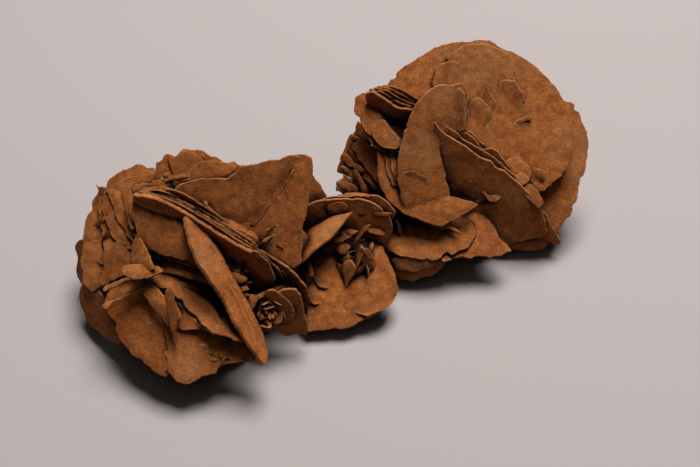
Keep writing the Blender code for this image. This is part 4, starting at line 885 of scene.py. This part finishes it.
westCrest = {
    "seed": 400,
    "blades": {
        "fin": ((-39.7, -29, 32.3), -8, 46, 2.4, ((14.5, 22), (9, 19.5), (4, 15.5), (0.5, 11.5),
            (-1.5, 7.5), (-3.5, 3), (-5.5, -0.5), (-9, -4.5), (-12, -9), (-15, -14.5), (-17.5, -20.5),
            (-15.5, -22), (-11, -20.5), (-7.5, -18), (-3, -13.5), (0.5, -9), (3.5, -4.5), (6.5, 0),
            (10, 4.5), (13, 9.5), (15.5, 16.5))),
        "back2": ((-53, 13, 32), 98, 66, 3.4, (20, 0.9)),
        "back3": ((-31, 13, 23), 70, 70, 3, (16.2, 1)),
        "backLow2": ((-38, 9, 13), 78, 118, 3, (18, 0.9)),
        "backRib": ((-50, 17, 20), 90, 88, 2.6, (14, 0.9)),
        "foot2": ((-42, -16, 8), 20, 160, 5, (19, 0.9)),
        "heartWest": ((-55, -8, 24), -95, 70, 16, (26, 0.7)),
        "heartWest2": ((-34, -9, 22), -70, 65, 14, (20, 0.8)),
        "westCrest": ((-48, -13.1, 28), -106, 89, 2.8, ((-22.5, 16), (-19.5, 3), (-10, -15),
            (7.5, -25.5), (19, -18), (24.5, -6), (24, 0.5), (21.5, 5.5), (18.5, 8.5), (12.5, 11),
            (7, 14), (1, 18), (-5, 21.5), (-13, 25), (-17.5, 25.5), (-22, 24.5))),
        "westCrestSecond": ((-46.1, -12.4, 27), -106, 89, 1.2, ((-24, 15.5), (-21, 2.5), (-12.5, -15.5),
            (5, -27), (17, -20.5), (25, -8), (25, 0.5), (21.5, 5.5), (17, 9.5), (11, 12.5), (5, 16.5),
            (-0.5, 20), (-6, 23), (-12.5, 25.5), (-18.5, 26), (-23.5, 25))),
        "westCrestThin": ((-45, -12, 25), -106, 89, 1.2, ((-24.5, 17), (-22, 3.5), (-12, -17),
            (4.5, -26), (22, -19.5), (26.5, -8.5), (26, -2), (24.5, 2.5), (21, 6.5), (15.5, 10.5),
            (10, 14), (4.5, 18.5), (-1.5, 22), (-7, 25), (-13, 27), (-19, 27.5), (-24, 26.5))),
        "westCrestBack": ((-41.1, -12.3, 25), -106, 89, 1.5, ((-28, 16), (-22, -1), (-4, -22),
            (14, -26.5), (25, -20.5), (29, -12), (28.5, -6), (27, -2), (24.5, 2), (20.5, 5.5),
            (14, 9.5), (7.5, 13.5), (0, 18.5), (-5.5, 21.5), (-10.5, 25), (-16.5, 27), (-22, 27),
            (-27.5, 26.5))),
        "westCrestThird": ((-46.9, -9.6, 37), -106, 89, 1.2, ((-16, 1), (-3, -10), (10.5, -15.5),
            (18.5, -8), (17, 0), (12, 3.5), (6.5, 7), (1.5, 10), (-4, 12.5), (-9.5, 15), (-14.5, 16),
            (-18.5, 14.5))),
        "westCrestLast": ((-50, -7.9, 41), -106, 89, 1.1, ((-11, -0.5), (0.5, -12), (11, -11), (11, 1),
            (8.5, 5), (4.5, 7.5), (0, 10.5), (-4.5, 12.5), (-9.5, 12))),
        "wingWest": ((-37, -2.1, 41), -88, 55, 1.5, ((-18.5, 1), (-16, -7.5), (-9, -15), (-1, -20),
            (4.5, -14), (9, -6.5), (15.5, 1), (21, 11), (21, 16), (18.5, 17), (16.5, 16.5),
            (14.5, 15.5), (11.5, 15.5), (9, 15), (6.5, 14.5), (4, 14), (1.5, 13.5), (-0.5, 11.5),
            (-2.5, 10.5), (-4.5, 10), (-7, 10), (-9, 10), (-11.5, 10), (-13.5, 9.5), (-16, 9),
            (-18.5, 8), (-20.5, 6), (-22, 4))),
        "wingEast": ((-23, -5.1, 39.1), -106, 46, 1.9, ((-10, -11.5), (-5.5, -15), (0, -18.5),
            (4.5, -16.5), (8, -15), (10, -13), (9.5, -10.5), (9, -7), (8, -3.5), (8, -1), (8.5, 1.5),
            (8.5, 4.5), (8.5, 7.5), (8, 11), (8, 13.5), (8, 16.5), (7.5, 19), (6.5, 21.5), (4, 22),
            (1.5, 21.5), (-0.5, 20.5), (-1, 17), (-3.5, 11), (-6.5, 6), (-10, -0.5), (-13.5, -7.5))),
        "backSheet": ((-51, 6, 46), -95, 41, 1.4, ((-13, -3), (-8, -7.5), (4, -8.5), (15, -3),
            (15.5, 5), (13.5, 5.5), (12, 6), (9, 5.5), (6.5, 7), (4.5, 7), (3, 8), (1.5, 9), (-1.5, 9),
            (-3, 9), (-5, 9), (-6, 8), (-7, 6.5), (-8.5, 7), (-10, 7.5), (-11, 7), (-11.5, 5.5),
            (-12.5, 4.5), (-13.5, 4), (-13.5, 2))),
        "backSheetUpper": ((-54, 7, 48), -95, 43, 1, ((-6, 2), (-4.5, -1.5), (-4, -5.5), (0, -6),
            (5, -3), (8, 0.5), (6.5, 3), (4, 5), (1, 6.5), (-2, 6.5), (-4, 4.5), (-5.5, 4.5), (-6.5, 5))),
        "backSheetLow": ((-46, 5.9, 48.1), -93, 45, 0.9, ((-5.5, -3.5), (-1.5, -4), (4, -2.5), (7.5, 0),
            (8.5, 2.5), (6, 3.5), (2.5, 4), (-0.5, 4.5), (-3.5, 3.5), (-5.5, 2), (-6.5, 0.5))),
        "darkPlate": ((-22, -27.4, 16.1), -92, 76, 2, ((-7.5, -7.5), (-5.5, -7.5), (-4, -8),
            (-2.5, -7.5), (-0.5, -8.5), (1.5, -9), (3.5, -8), (5.5, -8), (7.5, -8.5), (8, -4), (7, 0.5),
            (6.5, 5), (5, 10.5), (1, 11), (-4, 7.5), (-7.5, 1.5), (-8.5, -4.5))),
        "darkPlateInner": ((-23, -27.3, 20.1), -98, 74, 1.3, ((-5, 2), (-3, -3), (0, -6.5), (4, -5.5),
            (5, -1), (3.5, 2), (1.5, 4.5), (-0.5, 6), (-2.5, 7), (-4.5, 6))),
        "darkPlateSpine": ((-29, -20.2, 27), -100, 80, 1, ((-5, 7.5), (-4.5, -2.5), (0, -10.5), (5, -6),
            (5, -0.5), (4, 3.5), (2.5, 7), (0.5, 9), (-2, 11))),
        "seamRidge": ((-24.9, -1.8, 43.8), -105, 46, 0.7, ((4, 11.5), (3, 8), (1.5, 5), (0.5, 2.5),
            (-1, -0.5), (-2, -2.5), (-3.5, -5), (-5, -7.5), (-6.5, -9.5), (-5.5, -10), (-3.5, -7),
            (-2, -4), (-0.5, -1), (1, 1.5), (2.5, 4.5), (4, 8), (5, 11))),
        "wingStub": ((-46.9, -2.9, 42.9), -150, 60, 0.9, ((-2.5, -1), (0.5, -1), (4, -0.5), (5.5, 1),
            (2.5, 1), (0, 0.5), (-3, 0), (-4.5, -0.5))),
        "wingNub": ((-25.9, -10.2, 35.2), -60, 50, 0.9, ((-3, -1), (-1, -0.5), (1.5, 0), (3, 0.5),
            (0.5, 0.5), (-2, 0.5), (-3.5, 0))),
        "wingNubTop": ((-26, -8.1, 37.1), -60, 50, 0.8, ((-1, -0.5), (1, 0), (2, 0.5), (0.5, 0.5),
            (-1, 0.5), (-2.5, 0))),
        "crumbBed": ((-26, -28.8, 18.7), -80, 40, 1.3, ((-4.5, -1), (-3.5, -4), (-1, -3), (1.5, -4),
            (3.5, -3), (4.5, -0.5), (2, 1), (3, 2.5), (2, 4.5), (-0.5, 3.5), (-2, 5), (-3.5, 3))),
        "finLayerLow": ((-35.1, -35, 27.9), -23, 39, 0.8, ((2, 7.5), (-1, 3), (-4.5, -3), (-6.5, -7.5),
            (-6, -10), (-2, -5.5), (0.5, -1), (3, 3), (4.5, 6.5), (5.5, 10.5))),
        "finSpike": ((-36.1, -17.9, 29.8), -60, 35, 1.1, ((-3.5, 0.5), (-0.5, -1.5), (2.5, -3),
            (6, -4.5), (3, -1.5), (0.5, 0.5), (-2, 2), (-4, 3.5))),
        "finSide": ((-37.1, -21.9, 29.8), -70, 45, 1.1, ((-2, 0.5), (-0.5, -2), (2, -3), (3.5, -2),
            (1.5, 0), (-1, 1.5), (-3, 3))),
        "finSideLow": ((-35.2, -25.7, 27.5), -60, 40, 1, ((-2, 0.5), (-1, -0.5), (1, -1), (2.5, -1),
            (1.5, 0.5), (-0.5, 1), (-2, 2))),
        "finHook": ((-31.8, -28.1, 24.2), -30, 55, 1, ((-1.5, 0.5), (-3.5, -2), (-1, -2), (1.5, -1.5),
            (3, -1), (2, 1), (0.5, 2.5))),
        "finStick": ((-27.1, -30.8, 15.7), -70, 40, 1.6, ((-2.5, 0), (0, -1.5), (3, -1.5), (3.5, -0.5),
            (1, 1), (-1.5, 2), (-3.5, 2))),
        "finPeg": ((-25.7, -27.2, 20.1), -30, 70, 1.2, ((-1.5, 0.5), (-1.5, -1.5), (0.5, -3), (1, -1),
            (1, 1), (0, 2.5))),
    },
    "crumbs": (
        ((-26, -26, 16), 8, 34),
        ((-29, -19, 26), 6, 8),
        ((-48, -5, 48), 8, 6),
        ((-30, -3, 37), 10, 8),
        ((-45, 22, 20), 18, 12),
    ),
    "chips": (
        ((-26.2, -30.3, 19.7), 3, 44, 1.8, 0.52), ((-25.7, -30.6, 19.1), -71, 20, 1.3, 0.77),
        ((-24.3, -26.9, 22.3), 55, 46, 2.5, 0.51), ((-29.6, -29.7, 19.4), -93, 17, 1.4, 0.64),
        ((-26.3, -31.8, 17.8), 0, 48, 2, 0.63), ((-27.5, -33.2, 17.6), 75, 31, 2.3, 0.54),
        ((-27.5, -27.2, 22.2), 125, 34, 1.7, 0.83), ((-23.1, -26.1, 21.7), -11, 64, 2.4, 0.61),
        ((-29.1, -30.8, 19.4), -149, 32, 1.6, 0.84), ((-23.8, -26.9, 21.1), -158, 55, 1.3, 0.52),
        ((-25.4, -29, 19.5), -133, 47, 2.2, 0.5), ((-26.5, -27.7, 20.9), 109, 30, 2.5, 0.8),
        ((-28.1, -29.3, 20.6), -144, 64, 2, 0.54), ((-27.7, -31.3, 18.2), -154, 20, 1.6, 0.68),
        ((-27.8, -30.3, 19.1), 165, 39, 1.8, 0.68), ((-37.3, -20.5, 30.4), -99, 39, 1.5, 0.37),
        ((-36.8, -20.3, 29.8), -34, 27, 2, 0.41), ((-37.8, -21.6, 30), -93, 54, 2.2, 0.38),
        ((-37.4, -21, 29.7), -8, 45, 1.5, 0.32), ((-36.5, -21, 28.9), -86, 36, 1.8, 0.46),
        ((-34.4, -27.8, 26.4), -78, 60, 1.9, 0.5), ((-34, -25.9, 25.7), -63, 49, 1.4, 0.32),
        ((-33.6, -23.8, 25.6), 0, 57, 1.4, 0.52), ((-33.9, -22.8, 26.2), -88, 68, 1.9, 0.39),
        ((-34.4, -28.2, 25.7), -55, 48, 2.3, 0.39), ((-54.8, 4.7, 45.8), -94, 47, 2.3, 0.29),
        ((-50.3, 6.5, 47.5), -98, 47, 2.1, 0.3), ((-47.8, 2.7, 44.3), -88, 47, 3, 0.25),
        ((-53.3, 4.2, 45.3), -95, 43, 2, 0.38), ((-55, 4.8, 46.2), -96, 40, 3.1, 0.42),
        ((-47, 3.1, 45.2), -98, 43, 2, 0.33), ((-59.7, 3.8, 45.1), -87, 45, 1.6, 0.41),
        ((-53, 3.4, 44.8), -93, 40, 2.6, 0.27), ((-57, 5.2, 45.9), -90, 44, 2.5, 0.3),
        ((-52.3, 2.5, 44.6), -88, 42, 2.6, 0.27), ((-59.3, 6.7, 46.5), -86, 41, 2.6, 0.37),
        ((-45.3, 3.5, 45), -96, 42, 2.6, 0.25), ((-52.2, 3.2, 44.1), -94, 40, 1.8, 0.33),
        ((-48.8, 4.9, 45.8), -97, 47, 1.6, 0.41), ((-25.7, -11.3, 34.3), -43, 61, 1, 0.42),
        ((-29.2, -4.9, 39.4), -95, 55, 1.3, 0.33), ((-22.9, -12.6, 33.5), -114, 64, 1.5, 0.47),
        ((-28.9, -10.1, 34.4), -99, 56, 1.5, 0.47), ((-24.7, -7.6, 37.9), -73, 70, 1.5, 0.29),
    ),
}
makePiece("westCrest", westCrest)

westFan = {
    "seed": 500,
    "blades": {
        "sideUpper": ((-89.6, -4.8, 18.9), -150, 75, 1.56, ((-5.5, 2.5), (-8, -3), (-5.5, -5.5),
            (-4, -8.5), (4.5, -3.5), (7.5, 4.5), (3.5, 7), (-1.5, 6))),
        "sideLower": ((-89.1, -10.1, 15), -150, 75, 1.44, ((-7, 0), (-7.5, -5), (-5.5, -6.5), (-1, -6),
            (4.5, -1.5), (6, 6), (1, 7))),
        "back1": ((-72, 10, 27), 125, 62, 3, (17, 1)),
        "backLow1": ((-61, 9, 13), 112, 112, 3, (17, 0.9)),
        "sideBack": ((-80, 4, 15), 165, 100, 3, (13, 0.9)),
        "foot1": ((-64, -6, 7), -60, 165, 5, (19, 0.9)),
        "heartWest3": ((-66, -3, 22), -150, 66, 9, (12.3, 0.85)),
        "shoulder": ((-71, 8, 39.9), -112, 34, 1.2, ((-8.5, -7.5), (-4, -9), (3.5, -7.5), (9.5, -2),
            (11, 3.5), (7, 6.5), (4, 7.5), (2.5, 7.5), (1.5, 7), (-0.5, 7.5), (-2, 7.5), (-3, 7),
            (-4.5, 5.5), (-6, 4.5), (-7.5, 3), (-8.5, 2), (-9.5, 0.5), (-10.5, -1), (-10.5, -2.5),
            (-10, -4.5))),
        "shoulderSecond": ((-69, 6, 41), -112, 34, 1, ((-8, -7.5), (-2.5, -7.5), (5, -5.5), (10, 1),
            (7.5, 5.5), (3.5, 7), (0.5, 6.5), (-2, 5.5), (-3.5, 3.5), (-6, 2.5), (-7.5, 1),
            (-8.5, -0.5), (-8.5, -2.5), (-10, -3.5), (-10.5, -4.5))),
        "shoulderThird": ((-67.1, 3.7, 41.5), -114, 36, 1, ((-4, -8), (-0.5, -6), (6, -2.5), (9.5, 2.5),
            (5.5, 6), (1, 7), (-2, 6.5), (-3.5, 5), (-5, 3), (-6.5, 1.5), (-7.5, -0.5), (-8.5, -3),
            (-8, -5))),
        "shoulderFourth": ((-66, 1.9, 42.1), -117, 38, 0.9, ((-2.5, -7.5), (2.5, -5), (7.5, -0.5),
            (8, 4), (4, 5.5), (1, 6), (-2, 4), (-4.5, 2.5), (-6.5, 1), (-7.5, -1), (-7.5, -3.5),
            (-7, -6))),
        "shoulderFifth": ((-65.1, -0.1, 42.2), -118, 40, 0.9, ((-0.5, -5), (5.5, -0.5), (8.5, 4),
            (5.5, 5.5), (1.5, 5.5), (-1.5, 4), (-4.5, 2.5), (-6.5, 0.5), (-7, -2.5), (-6.5, -5.5))),
        "spur": ((-80.3, 6.6, 35.3), -125, 56, 1.4, ((-5.5, 0), (-3.5, -2.5), (1.5, -4.5), (5, 0),
            (4, 3), (1, 3.5), (-2, 3), (-4, 2.5), (-5, 2.5), (-6, 2), (-7, 2))),
        "fanFirst": ((-84.2, -2.1, 28.3), -150, 35, 1.3, ((-13.5, 8.5), (-12.5, 6.5), (-12, 4.5),
            (-11, 3), (-9, 2), (-9, 0.5), (-8, -1.5), (-6.5, -3), (-5.5, -4), (-3, -6), (-0.5, -7),
            (3.5, -7.5), (7, -7), (12, -4.5), (14.5, -2), (10, 0.5), (1.5, 4.5), (-7, 9))),
        "fanSecond": ((-79.8, -3.9, 32.7), -150, 35, 1.2, ((-14.5, 5), (-14, 3), (-12.5, 1.5),
            (-10.5, 0.5), (-7.5, -0.5), (-4.5, -2), (-1.5, -3), (2, -4.5), (6, -6), (9.5, -7.5),
            (12.5, -4.5), (11, -0.5), (4.5, 2.5), (-3.5, 4.5), (-10, 6))),
        "fanThird": ((-77.2, -3.1, 36.3), -150, 35, 1.1, ((-12, 2), (-10, -0.5), (-8, -2), (-5.5, -3),
            (-2, -3.5), (1.5, -4), (5, -4.5), (7.5, -4), (10.5, -3), (11.5, -1), (8.5, 1.5), (0.5, 3.5),
            (-7.5, 4))),
        "fanFourth": ((-74.9, -3, 39.9), -150, 35, 1.1, ((-12.5, -0.5), (-10, -1), (-7, -1.5),
            (-5, -1.5), (-1.5, -2.5), (2, -3), (5.5, -3), (9, -3), (12, -2), (10, 0), (4, 2.5), (-1, 4),
            (-7, 3.5))),
        "fanLower": ((-73.9, -8.9, 35.8), -150, 35, 0.9, ((-6.5, -1), (-3.5, -2), (-0.5, -3), (2, -3.5),
            (4.5, -2.5), (7, -1), (7, 1.5), (3.5, 3.5), (-0.5, 3), (-5.5, 2))),
        "fanFifth": ((-73.1, -4, 42.1), -150, 35, 0.9, ((-9, 2), (-6.5, 1), (-3, 0), (0, -1.5),
            (3, -2.5), (6, -3), (9.5, -3.5), (10, -2), (3.5, 1), (-1.5, 3), (-6.5, 3.5))),
        "fanSixth": ((-71.8, -5.9, 43.7), -150, 35, 0.9, ((-7.5, 3), (-5.5, 1.5), (-2.5, -0.5),
            (0.5, -1.5), (3.5, -2.5), (6.5, -3), (7, -2), (2.5, 0.5), (-1.5, 2.5), (-5.5, 4))),
        "fanSeventh": ((-71.1, -6, 45.1), -150, 35, 0.8, ((-5, 3), (-3.5, 1), (-1.5, -0.5), (1, -1.5),
            (3.5, -2.5), (5.5, -2.5), (5.5, -1.5), (1.5, 0.5), (-2, 2.5))),
        "tray": ((-58, -15.3, 42.3), -98, 46, 1.8, ((-12.5, 11), (-13, 8.5), (-13, 6), (-12.5, 4),
            (-11.5, 2), (-11, -0.5), (-9.5, -2.5), (-8.5, -4), (-7, -5), (-5, -6), (-3, -6.5), (-1, -7),
            (1.5, -7), (4, -7.5), (6.5, -7.5), (8, -8.5), (13.5, -9), (15.5, -4.5), (10, 1),
            (-0.5, 6.5), (-9, 10.5))),
        "trayLower": ((-56, -17.9, 37.8), -97, 44, 1, ((-13, 4.5), (-11.5, 1), (-9, -1), (-6.5, -2.5),
            (-3, -3), (1, -3.5), (5, -4.5), (10, -5), (11.5, -0.5), (4, 3.5), (-6, 5.5))),
        "petalSmall": ((-67.2, -20.2, 38.3), -140, 46, 1.5, ((-6, 4.5), (-6, 2.5), (-5, 0), (-3.5, -2),
            (-2, -4), (0.5, -5), (3.5, -4.5), (6, -2), (7.5, 0), (5, 1), (2, 2.5), (-1.5, 3.5))),
        "crescent": ((-67, -26.1, 36.3), -95, 18, 1.5, ((-6, 1.5), (-6, -0.5), (-4.5, -1.5), (-3, -2.5),
            (-1, -2.5), (1.5, -2), (4, -1), (6.5, 0.5), (7.5, 1.5), (4.5, 3), (-0.5, 3), (-4.5, 2.5))),
        "petal": ((-83.2, -12.2, 24.3), -128, 37, 1.9, ((-9, 2.5), (-8, -0.5), (-7, -2.5), (-5.5, -4.5),
            (-3.5, -5.5), (-2.5, -8), (-0.5, -9), (2, -9.5), (3.5, -9), (4.5, -7), (6.5, -4.5), (8, -1),
            (7.5, 2.5), (3.5, 7), (-1.5, 8), (-5.5, 5.5))),
        "petalInner": ((-75.9, -16.8, 30.7), -120, 39, 1.5, ((-6, 1), (-5, -0.5), (-4, -3.5),
            (-3.5, -6), (-3, -8), (-2, -9.5), (0, -8), (1.5, -6.5), (3, -4.5), (4.5, -3), (7, -1),
            (6, 2.5), (4.5, 6), (1, 8), (-3, 6), (-5, 3.5))),
        "patch": ((-75, -24.9, 29.9), -112, 30, 1.3, ((-3, -4), (-1.5, -2.5), (0.5, -1), (2, 1),
            (4.5, 2.5), (3.5, 3.5), (1.5, 2), (-0.5, 0.5), (-2.5, -1), (-4, -2.5), (-4, -4))),
        "ledge": ((-73, -29.1, 28.2), -112, 30, 1.6, ((-4, -5.5), (-2.5, -3), (-0.5, -1.5), (1, 0),
            (3, 2), (5, 3.5), (7, 4.5), (6.5, 6), (4.5, 4.5), (2.5, 3), (0.5, 1.5), (-1, -0.5),
            (-2.5, -2), (-4.5, -3), (-5.5, -4.5), (-5.5, -5.5))),
    },
    "crumbs": (
        ((-75, -1, 45), 8, 5),
        ((-90, -14, 12), 9, 12),
        ((-71, -24, 28), 6, 8),
        ((-75, 12, 14), 14, 10),
    ),
    "chips": (
        ((-76.5, 3.9, 40.7), -110, 50, 1.4, 0.54), ((-73, 6.3, 42.8), -115, 53, 2, 0.64),
        ((-67.6, 0.9, 40.8), -103, 52, 1.5, 0.46), ((-69.8, 0.6, 42), -116, 40, 1.5, 0.69),
        ((-75.9, 3, 41), -109, 57, 1.9, 0.58), ((-74.9, 7.2, 43.6), -121, 54, 2.3, 0.59),
        ((-76.7, 6.4, 43.4), -113, 50, 1.7, 0.43), ((-69.6, 3, 42.6), -101, 56, 1.6, 0.56),
        ((-77.9, 8, 42.3), -106, 51, 1.3, 0.46), ((-66.8, 1.9, 43.4), -105, 51, 2.2, 0.7),
    ),
}
makePiece("westFan", westFan)

westFront = {
    "seed": 600,
    "blades": {
        "under1": ((-67, -16, 9), -140, 120, 3, (14.4, 0.9)),
        "under2": ((-47, -28, 10), -90, 120, 3.4, (15.3, 0.9)),
        "trayUnder": ((-53, -20, 34), -100, 22, 1, ((-11, -1.5), (-10, -2.5), (-8, -3), (-5.5, -3.5),
            (-2.5, -3.5), (1, -4), (5, -4.5), (10, -5), (12, -0.5), (5.5, 3), (-6.5, 4), (-11.5, 0.5))),
        "diagonal": ((-48.1, -27, 26.7), -9, 15, 1.5, ((0, 19), (-1.5, 17), (-2.5, 14.5), (-2.5, 12.5),
            (-2, 11), (-3.5, 9), (-4.5, 7), (-5.5, 5.5), (-7.5, 3), (-8.5, 1), (-10, -1), (-11.5, -2.5),
            (-12.5, -4.5), (-13.5, -7), (-13.5, -10.5), (-14, -14), (-13.5, -17), (-10.5, -18.5),
            (-1.5, -15), (7, -8.5), (13.5, 0.5), (12.5, 10.5), (7, 18.5))),
        "diagonalUnder": ((-50.1, -30, 25.6), -9, 15, 0.9, ((1.5, 15.5), (0.5, 12.5), (0.5, 10),
            (-0.5, 7), (-2.5, 4.5), (-4.5, 2), (-6, -0.5), (-8, -3), (-9, -6), (-9.5, -9), (-9, -14),
            (-3.5, -16), (3.5, -6), (9, 7.5), (8.5, 15.5))),
        "step": ((-50, -33.9, 25.7), -108, 28, 1.3, ((-9, 4), (-7.5, 0.5), (-6, -2.5), (-5.5, -6),
            (-3.5, -6.5), (-1.5, -6.5), (1, -5.5), (3.5, -5), (6, -5), (9, -5), (10, -1.5), (5, 4),
            (-2, 6.5), (-7.5, 7))),
        "strap": ((-61, -31.1, 29.1), -118, 40, 1.1, ((-10, 3), (-8.5, 1), (-7, 0), (-4.5, -1.5),
            (-2, -3), (0.5, -4), (2, -5), (4, -6), (6, -7), (9, -3), (5.5, 1.5), (1.5, 2.5), (-2, 3),
            (-5.5, 4.5), (-8.5, 4.5))),
        "needle": ((-57, -38, 30), -62, 60, 1.2, ((0.5, 7.5), (-0.5, 3.5), (-1, 0), (-1.5, -3.5),
            (-2, -6.5), (-2, -9), (-1.5, -11), (-1, -9.5), (0, -7), (1.5, -3), (2, 1), (3, 5), (2.5, 9))),
        "frontPlate": ((-66, -34, 20), -115, 36, 2, ((-16.5, 1), (-14.5, -1), (-11.5, -3.5), (-9, -6),
            (-7, -8), (-4, -9.5), (-1, -11), (2.5, -12), (5, -12.5), (8, -13.5), (10.5, -14),
            (12.5, -14), (14, -9.5), (12, -1), (9, 7), (1.5, 13), (-7.5, 12.5), (-16, 6.5))),
        "frontTip": ((-47, -40, 19), -84, 36, 2, ((-12.5, 7), (-12, 1), (-12, -2), (-12.5, -6),
            (-12.5, -9), (-11, -11), (-9.5, -12.5), (-7, -13.5), (-5.5, -13.5), (-3.5, -12.5),
            (-1.5, -11.5), (1, -11), (2.5, -11), (4, -9.5), (5, -8.5), (7.5, -8), (11, -8), (13.5, -8),
            (16.5, -3), (13.5, 6), (1.5, 13), (-7, 11.5))),
        "sideDark": ((-83.9, -23.9, 11.9), -140, 66, 1.8, ((-11, 4.5), (-11.5, 1), (-11, -1.5),
            (-9.5, -3.5), (-7, -5), (-4, -6.5), (-1, -7), (2.5, -6), (5.5, -5.5), (9.5, -4), (13, -2.5),
            (13.5, 0.5), (10, 2), (5.5, 4), (2, 6.5), (-3.5, 8))),
    },
    "crumbs": (((-55, -27, 24), 8, 8), ((-60, -41, 18), 8, 6), ((-55, -30, 8), 12, 6),),
    "chips": (
        ((-39.9, -44.9, 16.6), -38, 80, 1.5, 0.39), ((-47.4, -42, 18.9), -84, 26, 1.3, 0.4),
        ((-45.1, -43.7, 17.5), -107, 53, 1.1, 0.42), ((-39.1, -44.9, 16.4), 82, 65, 1.1, 0.42),
        ((-40.2, -42.3, 18.9), 105, 77, 1.8, 0.37), ((-41.8, -44.8, 17.1), -130, 58, 1.4, 0.33),
        ((-39.6, -40.4, 19.7), -137, 49, 1.5, 0.45), ((-44.2, -45.8, 16.6), -92, 22, 1.9, 0.41),
    ),
}
makePiece("westFront", westFront)


# Floor, light and camera
studio = {
    "floor": (0.305, 0.268, 0.257, 1), "floorSize": 3.0,
    "lampFrom": (0.13, 0.32, 0.94), "lampAway": 1.2, "lampSize": 0.55, "lampPower": 27,
    "topFrom": (-0.05, -0.35, 0.93), "topAway": 1.1, "topSize": 0.9, "topPower": 0.5,
    "sky": (1, 0.9, 0.8, 1), "skyPower": 0.018,
    "floorRough": 0.9,
    "eye": (0, -295.68, 377.38), "look": 40, "lens": 70, "sensor": 36,
}


def setStage():
    pickNothing()
    bpy.ops.mesh.primitive_plane_add(size=studio["floorSize"])
    table = bpy.context.object
    table.name = "table"
    paper = bpy.data.materials.new("table")
    paper.use_nodes = True
    shader = paper.node_tree.nodes["Principled BSDF"]
    shader.inputs["Base Color"].default_value = studio["floor"]
    shader.inputs["Roughness"].default_value = studio["floorRough"]
    table.data.materials.append(paper)
    for name in ("lamp", "top"):
        comesFrom = along(studio[name + "From"]).normalized()
        bpy.ops.object.light_add(type="AREA", location=comesFrom * studio[name + "Away"],
                                 rotation=comesFrom.to_track_quat("Z", "Y").to_euler())
        lamp = bpy.context.object
        lamp.data.size = studio[name + "Size"]
        lamp.data.energy = studio[name + "Power"]
    world = bpy.data.worlds.new("sky")
    bpy.context.scene.world = world
    world.use_nodes = True
    sky = world.node_tree.nodes["Background"]
    sky.inputs["Color"].default_value = studio["sky"]
    sky.inputs["Strength"].default_value = studio["skyPower"]
    facing = (math.radians(studio["look"]), 0, lie)
    bpy.ops.object.camera_add(location=inFrame(studio["eye"]), rotation=facing)
    eye = bpy.context.object
    eye.data.lens = studio["lens"]
    eye.data.sensor_width = studio["sensor"]
    bpy.context.scene.camera = eye
    bpy.context.scene.view_settings.view_transform = "Standard"


# painted shade is laid into the shut-in places of every piece
paintHollowShade(made)
print("hollows painted")
setStage()
print("stage set")
